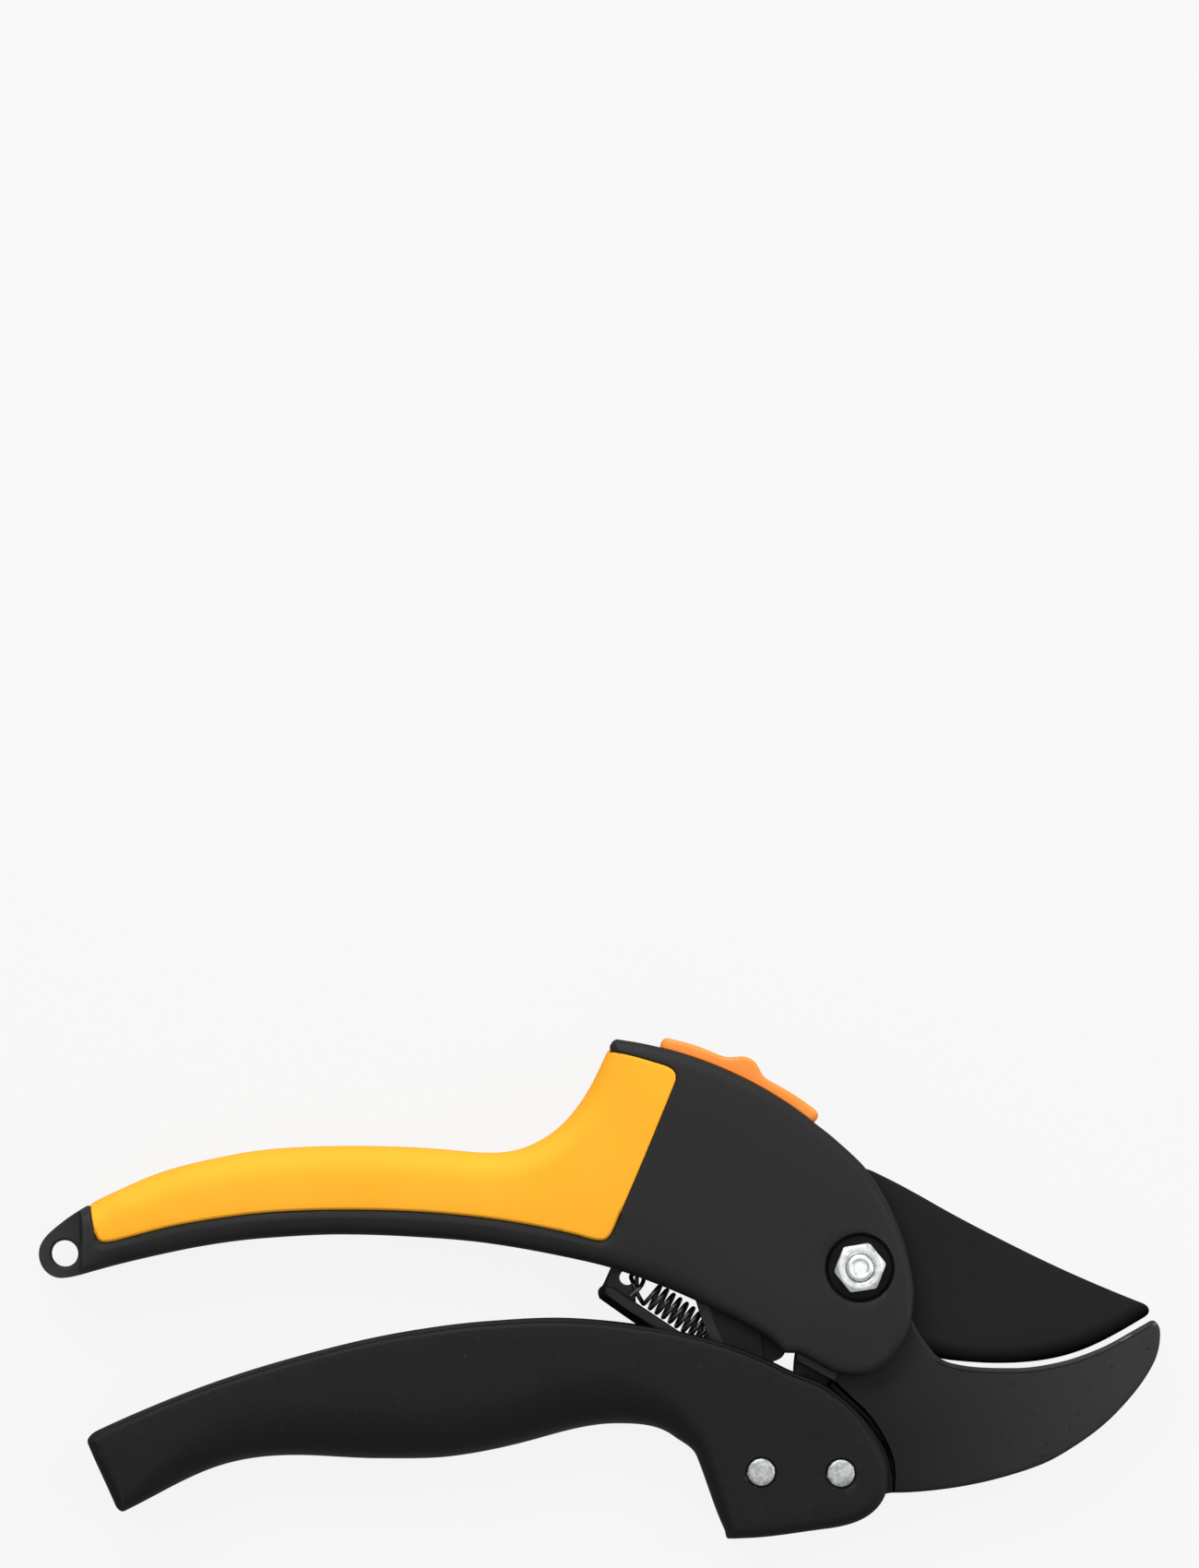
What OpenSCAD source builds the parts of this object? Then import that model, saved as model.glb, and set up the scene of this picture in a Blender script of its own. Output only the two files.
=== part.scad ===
// Bypass pruning shears with a stepped power linkage.
// The tool lies on its back face: Z = 0 is the table, the jaws point along +X,
// and the main pivot stands on the Z axis. Millimetres.
//
// The upper handle carries the fixed cutting blade between two steel rack plates.
// The lower jaw turns on the main pivot. The lower handle turns on a rivet in the
// jaw's tang, and pushes on a step arm whose cross pin bears in the rack's notches.

/* [Upper handle] */
// Thickness of the upper handle across both cheeks
housing_t = 20; // [20:0.25:21]
// Thickness of the cheek behind the steel parts
back_cheek_t = 5; // [5:0.1:5.2]
// Radius rolled onto the long edges of both handles
edge_r = 2; // [1.4:0.1:2.2]
// Thickness of the tab at the end of the handle
tab_t = 9; // [6:0.5:12]
// Radius of the hole for hanging the tool up
hang_hole_r = 2.45; // [2:0.05:2.6]
// Thickness of the soft grip over its core
grip_skin = 2.2; // [1.6:0.1:2.4]

/* [Lower handle] */
// Thickness of the lower handle across both walls
lower_t = 18; // [17:0.5:18]
// Thickness of each side wall
wall_t = 3; // [2.6:0.1:3]
// Thickness of the web along the underside
web_t = 3; // [2.5:0.1:3.5]

/* [Steel parts] */
// Thickness of each rack plate
plate_t = 1.4; // [1:0.1:1.4]
// Thickness of the cutting blade
blade_t = 3.2; // [2.8:0.1:3.2]
// Thickness of the lower jaw
jaw_t = 4; // [3.6:0.1:4]
// Width of the ground bevel along the cutting edge
bevel_w = 7; // [4:0.5:8]
// Depth of the relief on the jaw around the lower handle's head
relief_t = 0.9; // [0.4:0.1:1.2]

/* [Pivots] */
// Diameter of the main bolt
bolt_d = 5; // [4.5:0.1:5]
// Diameter of the bush that the jaw turns on
bush_d = 9; // [8:0.1:9]
// Width across flats of the nut and of the bolt's head
nut_af = 8.46; // [8:0.02:8.8]
// Height of the nut
nut_h = 3.6; // [3:0.1:4]
// Diameter of the recess around the nut
nut_recess_d = 12.6; // [12.4:0.1:14]
// Diameter of the jaw rivet and the link rivet
rivet_d = 5; // [4.5:0.1:5]
// Diameter of the step arm's cross pin
step_pin_d = 4; // [3.6:0.1:4]
// Radial clearance of every turning fit
fit = 0.06; // [0.04:0.01:0.1]

/* [Return spring] */
// Outer diameter of the spring's coils
spring_d = 4.8; // [4.2:0.1:4.8]
// Diameter of the pin that anchors the spring
anchor_d = 2; // [1.6:0.1:2.2]

/* [Lock] */
// Thickness of the lock button's strip along the handle's back
button_t = 1.85; // [1.6:0.05:2.1]
// Width of the lock button
button_w = 11; // [9:0.5:12]
// Height of the thumb ridge above the strip
thumb_h = 1.6; // [1:0.1:2]
// Height of the lock tongue's bar
tongue_h = 4.6; // [4:0.1:5]
// Angle that the lock travels through to release
lock_travel = 4.2; // [3.5:0.1:4.4]

/* [Hidden] */

$fn = 64;
eps = 0.01;
big = 400;
// Largest turn between neighbouring points of a drawn curve, in degrees
curve_step = 4;

// Levels of the steel stack, from the back cheek up
slot_z0 = back_cheek_t;
blade_z0 = slot_z0 + plate_t;
blade_z1 = blade_z0 + blade_t;
side_play = 0.1;
jaw_z0 = blade_z1 + side_play;
jaw_z1 = jaw_z0 + jaw_t;
thrust_z0 = jaw_z1 + side_play;
thrust_t = 0.3;
front_plate_z0 = thrust_z0 + thrust_t;
slot_z1 = front_plate_z0 + plate_t;

// Levels of the lower handle and of what lies in its channel
lower_z0 = (housing_t - lower_t) / 2;
lower_z1 = lower_z0 + lower_t;
channel_z0 = lower_z0 + wall_t;
channel_z1 = lower_z1 - wall_t;
arm_z0 = blade_z0 + 0.5;
arm_z1 = front_plate_z0 - 0.6;
arm_web_t = 2;
spring_gap = 0.25;
spring_z = arm_z0 + arm_web_t + spring_gap + spring_d / 2;

// Levels of the main pivot
recess_floor_z = housing_t - 2.6;
nut_washer_t = 0.8;
nut_z0 = recess_floor_z + nut_washer_t;
bolt_head_z0 = 0.3;
bolt_head_h = 3;
bolt_end = 0.6;
bore_gap = 0.1;

// Centres of the pivots in plan
jaw_rivet_at = [-3.5, -37.9];
link_rivet_at = [-18.2, -37.7];
step_pin_at = [-44, 2.5];
spring_eye_at = [-42.9, -1.95];
anchor_at = [-17, -19.6];
hang_hole_at = [-146.6, 2.5];
dowels_at = [[-15, 9], [-28, 8]];
dowel_d = 3;

// The lock slides along an arc around this centre
lock_at = [-54.5, -31.9];
track_r = 74.6;
track_gap = 0.25;
button_from = 52.9;
button_to = 76.4;
thumb_from = 62.2;
thumb_to = 66.4;
neck_from = 62;
neck_to = 66;
// The tongue's bar runs on an arc through the main pivot
tongue_r = norm(lock_at);
pivot_bearing = atan2(-lock_at.y, -lock_at.x);
hub_r = 9;
// The nose stops just short of the jaw's hub
nose_gap = 0.45;
nose_bearing = pivot_bearing + 2 * asin((hub_r + nose_gap) / (2 * tongue_r));
tongue_w = 3.6;
tongue_z0 = (jaw_z0 + jaw_z1 - tongue_w) / 2;

// ---- Curves: each knot is [x, y, heading in] or [x, y, heading in, heading out] ----
function heading_in(k) = k[2];
function heading_out(k) = len(k) > 3 ? k[3] : k[2];
function turn(a, b) = abs((b - a + 900) % 360 - 180);
function bearing(p, q) = atan2(q.y - p.y, q.x - p.x);
function chord(p, q) = norm([q.x - p.x, q.y - p.y]);
function reach(p, q) = chord(p, q) / pow(cos(turn(heading_out(p), heading_in(q)) / 4), 2);
function span_turn(p, q) =
    turn(heading_out(p), bearing(p, q)) + turn(bearing(p, q), heading_in(q));
function span_steps(p, q) = max(1, ceil(span_turn(p, q) / curve_step));
function blend_at(p, q, t) =
    let (
        m = reach(p, q),
        a = [cos(heading_out(p)), sin(heading_out(p))] * m,
        b = [cos(heading_in(q)), sin(heading_in(q))] * m
    )
    [p.x, p.y] * (2 * pow(t, 3) - 3 * pow(t, 2) + 1) + a * (pow(t, 3) - 2 * pow(t, 2) + t)
    + [q.x, q.y] * (3 * pow(t, 2) - 2 * pow(t, 3)) + b * (pow(t, 3) - pow(t, 2));
function span(p, q) = [for (s = [0 : span_steps(p, q) - 1]) blend_at(p, q, s / span_steps(p, q))];
function open_curve(knots) = [for (i = [0 : len(knots) - 2]) each span(knots[i], knots[i + 1])];
function closed_curve(knots) =
    [for (i = [0 : len(knots) - 1]) each span(knots[i], knots[(i + 1) % len(knots)])];

// ---- Outlines ----
// Upper handle: hanging loop, hand side, thumb rise, back above the pivot, nose, palm side
UPPER_KNOTS = [
    [-151.4, 2.5, 90], [-147.1, 8.3, 38], [-133.1, 15.8, 24.5], [-116.1, 20.6, 11.5],
    [-92, 22.3, 0], [-79, 21.85, -3.5], [-67, 21.05, 2], [-61.6, 22.1, 20],
    [-54.8, 26.4, 44], [-51.4, 30.5, 55], [-46.7, 39.4, 65], [-44.6, 41.95, -4, -10],
    [-36.8, 40.25, -14], [-21, 34.6, -26.7], [-7.9, 26.3, -38], [-0.3, 19.7, -44],
    [5.6, 10.9, -63], [9.9, -3.5, -84], [9.6, -9.5, -97], [6.9, -15.4, -128],
    [0.8, -19.7, -171], [-4.9, -19.3, 164, 152], [-11.2, -15.9, 152, 165],
    [-14, -15.7, 170, 142], [-17.4, -12.6, 150], [-31, -5.8, 155.5], [-44, -0.7, 161],
    [-54.8, 2, 168], [-68.4, 4.4, 172], [-82, 5.6, 176.5], [-95.7, 6.05, 180],
    [-109.3, 5.4, 184], [-122.9, 3.6, 190.5], [-133.1, 1.4, 193], [-143, -1.2, 196],
    [-147.1, -2, 182]];

// Soft grip as seen from the side: it wraps the hand side, so that edge overshoots
GRIP_KNOTS = [
    [-141.2, 7.1, 101], [-142.2, 12.2, 101, 60], [-140, 30, 60, 0], [-60, 60, 0],
    [-46.6, 42, -76, -90], [-46.3, 39.85, -90, -6], [-41, 38.75, -15.5], [-36.4, 37.4, -17],
    [-33.9, 35.3, -84], [-34.4, 33.3, -112], [-44.3, 9.7, -114], [-45.6, 6.7, -116],
    [-47.6, 4.98, 182], [-52.3, 6, 166], [-66, 8.7, 171.5], [-76.2, 9.9, 174.8],
    [-95, 10.63, 180], [-106.8, 10.3, 183.3], [-117, 9.25, 188.3], [-127.2, 7.5, 192.3],
    [-137, 5, 193.5], [-139.3, 4.65, 180], [-140.6, 5.4, 118]];

// Slot through the upper handle, open beyond its nose and its palm side
SLOT_OUTLINE = [
    [-64, -60], [-64, 7], [-62.6, 15.8], [-12, 15.8], [-6, 18], [-1, 20.6], [1.5, 30],
    [40, 30], [40, -60]];

// Lower handle: hand side from the tail, head, finger beak, finger hollow, tail
LOWER_KNOTS = [
    [-140.4, -30.1, 25], [-129.7, -25.4, 22.5], [-112.7, -19.2, 17.5], [-95.7, -14.5, 14],
    [-82, -11.7, 9], [-68.4, -10.05, 4], [-56.5, -9.45, 0], [-44.6, -10.2, -6.5],
    [-27.6, -13.3, -15], [-14, -18.6, -27], [-5.5, -22.4, -35], [1.4, -29, -56],
    [5.1, -36.2, -78], [4.9, -41.2, -104], [1, -46.1, -150], [-7.1, -48.3, -173],
    [-20.8, -49.9, -178], [-24.2, -50, 178], [-25, -48.3, 115], [-30.1, -34.8, 112],
    [-34.4, -31.1, 143], [-44.6, -28.85, 180], [-58.2, -31.3, 196], [-75.2, -34.9, 187],
    [-88.8, -35.3, 180], [-104, -34.7, 180], [-119.5, -37.1, 200], [-133.1, -43.7, 207],
    [-135.5, -44.9, 205], [-137.3, -43.7, 113], [-142.3, -32.5, 112]];

// Cutting blade: spine, tip, edge, then the hidden hub and tang
BLADE_SPINE = [
    [-34, 12, 0], [-14, 13, 4], [-5, 16.6, 30], [-0.2, 18.2, 0], [2.2, 17.75, -25],
    [13.3, 11.9, -30], [30.3, 2.95, -26.5], [51.2, -6.3, -21.5], [53.4, -7.9, -80],
    [52.5, -9.3, -149]];
BLADE_EDGE = [[52.5, -9.3, -149], [40.5, -15.5, -160], [25.5, -17.75, -180], [16.7, -17.2, 174]];
BLADE_HUB = [
    [16.7, -17.2, 174], [9, -15.2, 164], [3, -12.6, 164], [-6, -10.6, 165], [-14, -4, 130],
    [-20, 1.2, 158], [-34, 4, 180, 90]];

// Lower jaw: inner edge, tip, outer edge, tang and hub
JAW_KNOTS = [
    [8.6, -3.4, -76], [9.8, -10, -62], [13.5, -15.6, -52], [17, -17.75, -14],
    [28.5, -18.65, 0], [37.1, -17.5, 13], [43.9, -15.2, 22], [50.7, -11.6, 29],
    [53.5, -10, 30], [55.4, -12, -88], [54.1, -17.9, -117], [47.3, -26.9, -134],
    [37.1, -34.6, -149], [26.9, -38.6, -164], [13.3, -41.2, -174], [6.5, -41.6, -180],
    [-3.5, -44.7, 180], [-10.3, -37.9, 90], [-11.6, -26, 97], [-12.3, -19, 88],
    [-11.7, -14.5, 76], [-9, 0, 90], [0, 9, 0]];
// Edge of the relief that the lower handle's head sweeps over
RELIEF_KNOTS = [[-4.6, -21, -47], [3.1, -29, -57], [6.3, -36, -80], [6.2, -43, -95]];

// Rack plate, starting at its far end; the first spans run along the notched edge
RACK_KNOTS = [
    [-62, 13.6, -90], [-60.6, 11.6, -20], [-56.2, 10.2, -38], [-52.4, 7.4, -30],
    [-48.4, 5.6, -12], [-44, 5, 0], [-40.4, 5.2, -30], [-37, 1.6, -40],
    [-31.7, -1.2, -70], [-30.5, -5.4, -73], [-28.9, -10.4, -70], [-27.3, -14.2, -66, -18],
    [-17.2, -18.2, -18, 40], [-15.7, -17.3, 22], [-14.2, -16.4, 52], [-13.6, -14.8, 88],
    [-13.5, -13, 80, -10], [-11.7, -13, -10, -90], [-11.7, -17.2, -90, -28],
    [-4.5, -21.1, -28, 84], [-3.6, -18.6, 40, -8], [0.8, -18.6, 8], [6, -14.7, 52],
    [8.6, -9.5, 83], [8.9, -3.5, 96], [4.6, 10.6, 117], [0, 15.2, 150],
    [-10, 15, 180], [-59, 15.2, 180]];
notch_r = 2.3;
NOTCHES_AT = [[-44.4, 3.3], [-49.2, 4.3], [-53.8, 6.3]];

// Step arm's web: bearing boss, right side up to the cross pin, left corner, then back down
ARM_KNOTS = [
    [-14.4, -36, 100], [-17.8, -29, 118], [-26.5, -18.5, 138], [-33.5, -12.6, 144],
    [-41.2, -7.2, 140, 96], [-41.4, 2.4, 90, 170], [-44.6, 4.8, 190], [-46.3, 2.2, -90],
    [-46, -0.3, -104, -116], [-47.5, -3.5, -120, -80], [-47.3, -5.2, -70, -36],
    [-40, -10.1, -34], [-33.5, -15.2, -40], [-29, -20.6, -56], [-25, -29, -68],
    [-22, -37.5, -84]];
// Its rail, a wide flange along the side that the spring lies over
RAIL_KNOTS = [
    [-42, -6.1, 146], [-45.4, -3.8, 146, 176], [-47.4, -3.4, 186, 220], [-48.2, -4.2, -112],
    [-48, -5.8, -64, -36], [-40, -11.4, -34], [-32.9, -16.3, -35, 55],
    [-30.6, -13.7, 55, 146]];
// Lug that the return spring hooks into, from its lower left corner
EYE_LUG = [
    [-47.2, -4.6], [-42.8, -7.2], [-41.3, -5.6], [-40.7, -3.2], [-40.8, -0.6], [-41.5, 2],
    [-45.6, 2], [-45.8, -0.9]];
arm_boss_r = 5;
step_pin_wall = 1.3;
arm_eye_r = 1.4;
arm_eye_t = 2;

// ---- Shared shapes ----
function before(points, i) = points[(i + len(points) - 1) % len(points)];
function after(points, i) = points[(i + 1) % len(points)];
// Unit normal to the right of the direction of travel
function inward(points, i) =
    let (d = after(points, i) - before(points, i))
    [d.y, -d.x] / norm(d);
// Radius of the outline at a point, or a large number where it isn't convex
function corner_radius(points, i) =
    let (
        a = points[i] - before(points, i),
        b = after(points, i) - points[i],
        bend = asin((a.y * b.x - a.x * b.y) / (norm(a) * norm(b)))
    )
    bend > 0 ? (norm(a) + norm(b)) * 90 / (PI * bend) : big;
function roll_width(points, i, r) =
    let (n = len(points))
    min([for (j = [-2 : 2]) min(r, 0.7 * corner_radius(points, (i + j + n) % n))]);

// A slab between z = 0 and z = t with rolled long edges and flat faces. Its outline
// runs clockwise, and the roll narrows where a convex corner is tighter than r.
module rolled_slab(points, t, r) {
    count = len(points);
    pad = 0.02;
    insets = [for (i = [0 : count - 1]) roll_width(points, i, r)];
    quarter = [0, 30, 60, 90];
    levels = concat(
        [for (q = quarter) [1 - sin(q), r * (1 - cos(q)) - (q == 0 ? pad : 0)]],
        [for (q = quarter) [1 - cos(q), t - r * (1 - sin(q)) + (q == 90 ? pad : 0)]]);
    rings = [for (level = levels, i = [0 : count - 1])
        [each points[i] + inward(points, i) * insets[i] * level[0], level[1]]];
    sides = [for (k = [0 : len(levels) - 2], i = [0 : count - 1])
        [k * count + i, k * count + (i + 1) % count,
         (k + 1) * count + (i + 1) % count, (k + 1) * count + i]];
    top = (len(levels) - 1) * count;
    intersection() {
        polyhedron(rings, concat(sides, [[for (i = [0 : count - 1]) count - 1 - i],
                                         [for (i = [0 : count - 1]) top + i]]));
        translate([-big / 2, -big / 2, 0]) cube([big, big, t]);
    }
}

module slab(points, z0, z1) {
    translate([0, 0, z0]) linear_extrude(z1 - z0) polygon(points);
}

module post(at, r, z0, z1) {
    translate([at.x, at.y, z0]) cylinder(r = r, h = z1 - z0);
}

module hex_post(at, flats, z0, z1, spin = 9) {
    translate([at.x, at.y, z0]) rotate(spin) cylinder(r = flats / sqrt(3), h = z1 - z0, $fn = 6);
}

// A bar bent around the lock's centre
module lock_arc(r0, r1, from, to, z0, z1) {
    translate([lock_at.x, lock_at.y, z0]) rotate(from)
        rotate_extrude(angle = to - from, $fn = 180)
            translate([r0, 0]) square([r1 - r0, z1 - z0]);
}

// ---- Upper handle ----
module upper_body() {
    rolled_slab(closed_curve(UPPER_KNOTS), housing_t, edge_r);
}

module grip_zone(z0, z1) {
    slab(closed_curve(GRIP_KNOTS), z0, z1);
}

// Core of the handle under the soft grip
module grip_core(spread) {
    translate([0, 0, grip_skin]) linear_extrude(housing_t - 2 * grip_skin)
        intersection() {
            offset(delta = -grip_skin) polygon(closed_curve(UPPER_KNOTS));
            offset(delta = spread) polygon(closed_curve(GRIP_KNOTS));
        }
}

// Slot for the steel parts, open to the nose and to the palm side
module steel_slot() {
    slab(SLOT_OUTLINE, slot_z0, slot_z1);
}

module lock_slot() {
    gap = 0.3;
    back_stop = 0.4;
    lock_arc(tongue_r - tongue_h / 2 - gap, tongue_r + tongue_h / 2 + gap,
             pivot_bearing + 4, neck_to + lock_travel + back_stop,
             tongue_z0 - gap, tongue_z0 + tongue_w + gap);
    lock_arc(tongue_r, track_r + 4, neck_from - back_stop, neck_to + lock_travel + back_stop,
             tongue_z0 - gap, tongue_z0 + tongue_w + gap);
}

module tab_relief() {
    tab_end = -143.6;
    tab_box = 40;
    for (z = [-eps, (housing_t + tab_t) / 2])
        translate([tab_end - tab_box, -tab_box / 2, z])
            cube([tab_box, tab_box, (housing_t - tab_t) / 2 + eps]);
}

module upper_handle() {
    color([0.18, 0.18, 0.18])
    difference() {
        union() {
            difference() {
                upper_body();
                grip_zone(-eps, housing_t + eps);
            }
            grip_core(1);
        }
        steel_slot();
        lock_slot();
        tab_relief();
        post(hang_hole_at, hang_hole_r, -1, housing_t + 1);
        post([0, 0], bolt_d / 2 + bore_gap, -1, housing_t + 1);
        post([0, 0], nut_recess_d / 2, recess_floor_z, housing_t + 1);
        hex_post([0, 0], nut_af + 0.3, -1, bolt_head_z0 + bolt_head_h);
    }
}

module soft_grip() {
    color([0.98, 0.68, 0.16])
    difference() {
        intersection() {
            upper_body();
            grip_zone(0, housing_t);
        }
        grip_core(2);
    }
}

// ---- Steel stack ----
// Wedge that grinds the back of the cutting edge
module edge_bevel() {
    beyond_tip = [55.1, -7.75];
    points = concat([beyond_tip], open_curve(BLADE_EDGE), [[16.7, -17.2]]);
    count = len(points);
    land = 0.35;
    inward = [for (i = [0 : count - 1])
        let (a = points[max(i - 1, 0)], b = points[min(i + 1, count - 1)], d = (b - a) / norm(b - a))
        [d.y, -d.x]];
    rings = [for (i = [0 : count - 1]) each [
        [each points[i] - inward[i], blade_z0 - 1],
        [each points[i] + inward[i] * bevel_w, blade_z0 - eps],
        [each points[i] - inward[i] * 0.05, blade_z1 - land],
        [each points[i] - inward[i], blade_z1 - land]]];
    sides = [for (i = [0 : count - 2], s = [0 : 3])
        [4 * i + s, 4 * i + (s + 1) % 4, 4 * i + 4 + (s + 1) % 4, 4 * i + 4 + s]];
    last = 4 * (count - 1);
    polyhedron(rings, concat(sides, [[3, 2, 1, 0], [last, last + 1, last + 2, last + 3]]));
}

module cutting_blade() {
    color([0.20, 0.20, 0.21])
    difference() {
        slab(concat(open_curve(BLADE_SPINE), open_curve(BLADE_EDGE), open_curve(BLADE_HUB),
                    [[-34, 4]]), blade_z0, blade_z1);
        edge_bevel();
        post([0, 0], bolt_d / 2 + bore_gap, blade_z0 - 1, blade_z1 + 1);
        for (at = dowels_at)
            post(at, dowel_d / 2 + bore_gap / 2, blade_z0 - 1, blade_z1 + 1);
    }
}

module rack_plate(z0) {
    color([0.32, 0.32, 0.34])
    difference() {
        slab(closed_curve(RACK_KNOTS), z0, z0 + plate_t);
        post([0, 0], bolt_d / 2 + bore_gap, z0 - 1, z0 + plate_t + 1);
        for (at = dowels_at)
            post(at, dowel_d / 2 + bore_gap / 2, z0 - 1, z0 + plate_t + 1);
        for (at = NOTCHES_AT)
            post(at, notch_r, z0 - 1, z0 + plate_t + 1);
    }
}

module front_rack_plate() {
    rack_plate(front_plate_z0);
}

module back_rack_plate() {
    rack_plate(slot_z0);
}

module rack_dowels() {
    color([0.7, 0.7, 0.72])
    for (at = dowels_at)
        post(at, dowel_d / 2, slot_z0 + 0.1, slot_z1 - 0.1);
}

module pivot_bolt() {
    color([0.75, 0.74, 0.71])
    difference() {
        union() {
            hex_post([0, 0], nut_af, bolt_head_z0, bolt_head_z0 + bolt_head_h);
            post([0, 0], bolt_d / 2, bolt_head_z0 + 1, nut_z0 + nut_h + bolt_end);
        }
        post([0, 0], bolt_d / 4, nut_z0 + nut_h + bolt_end - 0.4, nut_z0 + nut_h + bolt_end + 1);
    }
}

module pivot_nut() {
    corner_r = nut_af / sqrt(3);
    chamfer = 0.6;
    color([0.78, 0.77, 0.74])
    translate([0, 0, nut_z0])
        difference() {
            intersection() {
                hex_post([0, 0], nut_af, 0, nut_h);
                rotate_extrude()
                    polygon([[0, 0], [corner_r - chamfer / 2, 0], [corner_r, chamfer / 2],
                             [corner_r, nut_h - chamfer], [corner_r - chamfer * 1.5, nut_h],
                             [0, nut_h]]);
            }
            translate([0, 0, -1]) cylinder(r = bolt_d / 2 + bore_gap / 2, h = nut_h + 2);
        }
}

module nut_washer() {
    rim_gap = 0.3;
    color([0.25, 0.25, 0.26])
    difference() {
        post([0, 0], nut_recess_d / 2 - rim_gap, recess_floor_z, nut_z0);
        post([0, 0], bolt_d / 2 + bore_gap, recess_floor_z - 1, nut_z0 + 1);
    }
}

module pivot_bush() {
    color([0.72, 0.6, 0.35])
    difference() {
        post([0, 0], bush_d / 2, blade_z1, front_plate_z0);
        post([0, 0], bolt_d / 2 + bore_gap, blade_z1 - 1, front_plate_z0 + 1);
    }
}

module thrust_washer() {
    thrust_r = 8.5;
    color([0.85, 0.85, 0.8])
    difference() {
        post([0, 0], thrust_r, thrust_z0, front_plate_z0);
        post([0, 0], bush_d / 2 + bore_gap, thrust_z0 - 1, front_plate_z0 + 1);
    }
}

// ---- Lower jaw ----
module jaw_relief() {
    edge = concat(open_curve(RELIEF_KNOTS), [[6.2, -43]]);
    slab(concat([[-14, -21]], edge, [[6.2, -60], [-30, -60], [-30, -21]]),
         jaw_z1 - relief_t, jaw_z1 + 1);
}

module lower_jaw() {
    notch_w = 6.2;
    notch_deep = 2;
    color([0.18, 0.18, 0.19])
    difference() {
        slab(closed_curve(JAW_KNOTS), jaw_z0, jaw_z1);
        jaw_relief();
        rotate(180 - 45)
            translate([hub_r - notch_deep, -notch_w / 2, jaw_z0 - 1])
                cube([notch_deep + 1, notch_w, jaw_t + 2]);
        post([0, 0], bush_d / 2 + fit, jaw_z0 - 1, jaw_z1 + 1);
        post(jaw_rivet_at, rivet_d / 2 + fit, jaw_z0 - 1, jaw_z1 + 1);
    }
}

// ---- Lower handle ----
// Region of the channel: the handle less its web, and open towards the upper handle
module channel_zone() {
    channel_end = -104;
    intersection() {
        offset(delta = -web_t)
            union() {
                polygon(closed_curve(LOWER_KNOTS));
                translate([channel_end - 4, -24]) square([channel_end * -1 - 1, 50]);
            }
        translate([channel_end, -60]) square([140, 90]);
    }
}

module lower_handle() {
    jaw_gap = 0.1;
    boss_r = 5.4;
    arm_gap = 0.1;
    root = 1;
    color([0.14, 0.14, 0.14])
    difference() {
        union() {
            difference() {
                translate([0, 0, lower_z0])
                    rolled_slab(closed_curve(LOWER_KNOTS), lower_t, edge_r);
                translate([0, 0, channel_z0])
                    linear_extrude(channel_z1 - channel_z0) channel_zone();
                translate([-12, -60, jaw_z0 - jaw_gap])
                    cube([40, 60, jaw_t + 2 * jaw_gap]);
            }
            post(jaw_rivet_at, boss_r, channel_z0 - root, jaw_z0 - jaw_gap);
            post(jaw_rivet_at, boss_r, jaw_z1 + jaw_gap, channel_z1 + root);
            post(link_rivet_at, boss_r, channel_z0 - root, arm_z0 - arm_gap);
            post(link_rivet_at, boss_r, arm_z1 + arm_gap, channel_z1 + root);
        }
        for (at = [jaw_rivet_at, link_rivet_at]) {
            post(at, rivet_d / 2 + bore_gap / 2, -1, housing_t + 1);
            for (z = [-1, lower_z1 - 0.6])
                post(at, rivet_d / 2 + 0.3, z, z + 1.6 + lower_z0);
        }
        post(anchor_at, anchor_d / 2 + bore_gap / 2, channel_z1 - 1, channel_z1 + 1.6);
    }
}

module rivet(at) {
    crown = 0.3;
    color([0.75, 0.74, 0.71])
    translate([at.x, at.y, 0])
        rotate_extrude()
            polygon([[0, lower_z0 - crown], [rivet_d / 2 - crown, lower_z0 - crown],
                     [rivet_d / 2, lower_z0], [rivet_d / 2, lower_z1],
                     [rivet_d / 2 - crown, lower_z1 + crown], [0, lower_z1 + crown]]);
}

module jaw_rivet() {
    rivet(jaw_rivet_at);
}

module link_rivet() {
    rivet(link_rivet_at);
}

module spring_anchor_pin() {
    color([0.7, 0.7, 0.7])
    post(anchor_at, anchor_d / 2, arm_z0 + arm_web_t + spring_gap, channel_z1 + 1.5);
}

// ---- Step arm ----
module step_arm() {
    color([0.22, 0.22, 0.23])
    difference() {
        union() {
            slab(closed_curve(ARM_KNOTS), arm_z0, arm_z0 + arm_web_t);
            slab(closed_curve(RAIL_KNOTS), arm_z0, arm_z1);
            post(link_rivet_at, arm_boss_r, arm_z0, arm_z1);
            post(step_pin_at, step_pin_d / 2 + step_pin_wall, arm_z0, arm_z1);
            slab(EYE_LUG, spring_z - arm_eye_t / 2, spring_z + arm_eye_t / 2);
        }
        post(link_rivet_at, rivet_d / 2 + fit, arm_z0 - 1, arm_z1 + 1);
        post(step_pin_at, step_pin_d / 2 + bore_gap / 2, arm_z0 - 1, arm_z1 + 1);
        post(spring_eye_at, arm_eye_r, arm_z0 - 1, arm_z1 + 1);
    }
}

module step_pin() {
    color([0.75, 0.75, 0.75])
    post(step_pin_at, step_pin_d / 2, slot_z0 + 0.2, slot_z1 - 0.2);
}

// Coils of the return spring as one closed sleeve between its two hooks
module return_spring() {
    along = anchor_at - spring_eye_at;
    eye_hook = 4.6;
    pin_hook = 3;
    color([0.75, 0.75, 0.76])
    translate([spring_eye_at.x, spring_eye_at.y, spring_z])
        rotate(atan2(along.y, along.x)) rotate([0, 90, 0])
            translate([0, 0, eye_hook])
                cylinder(d = spring_d, h = norm(along) - eye_hook - pin_hook);
}

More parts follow.
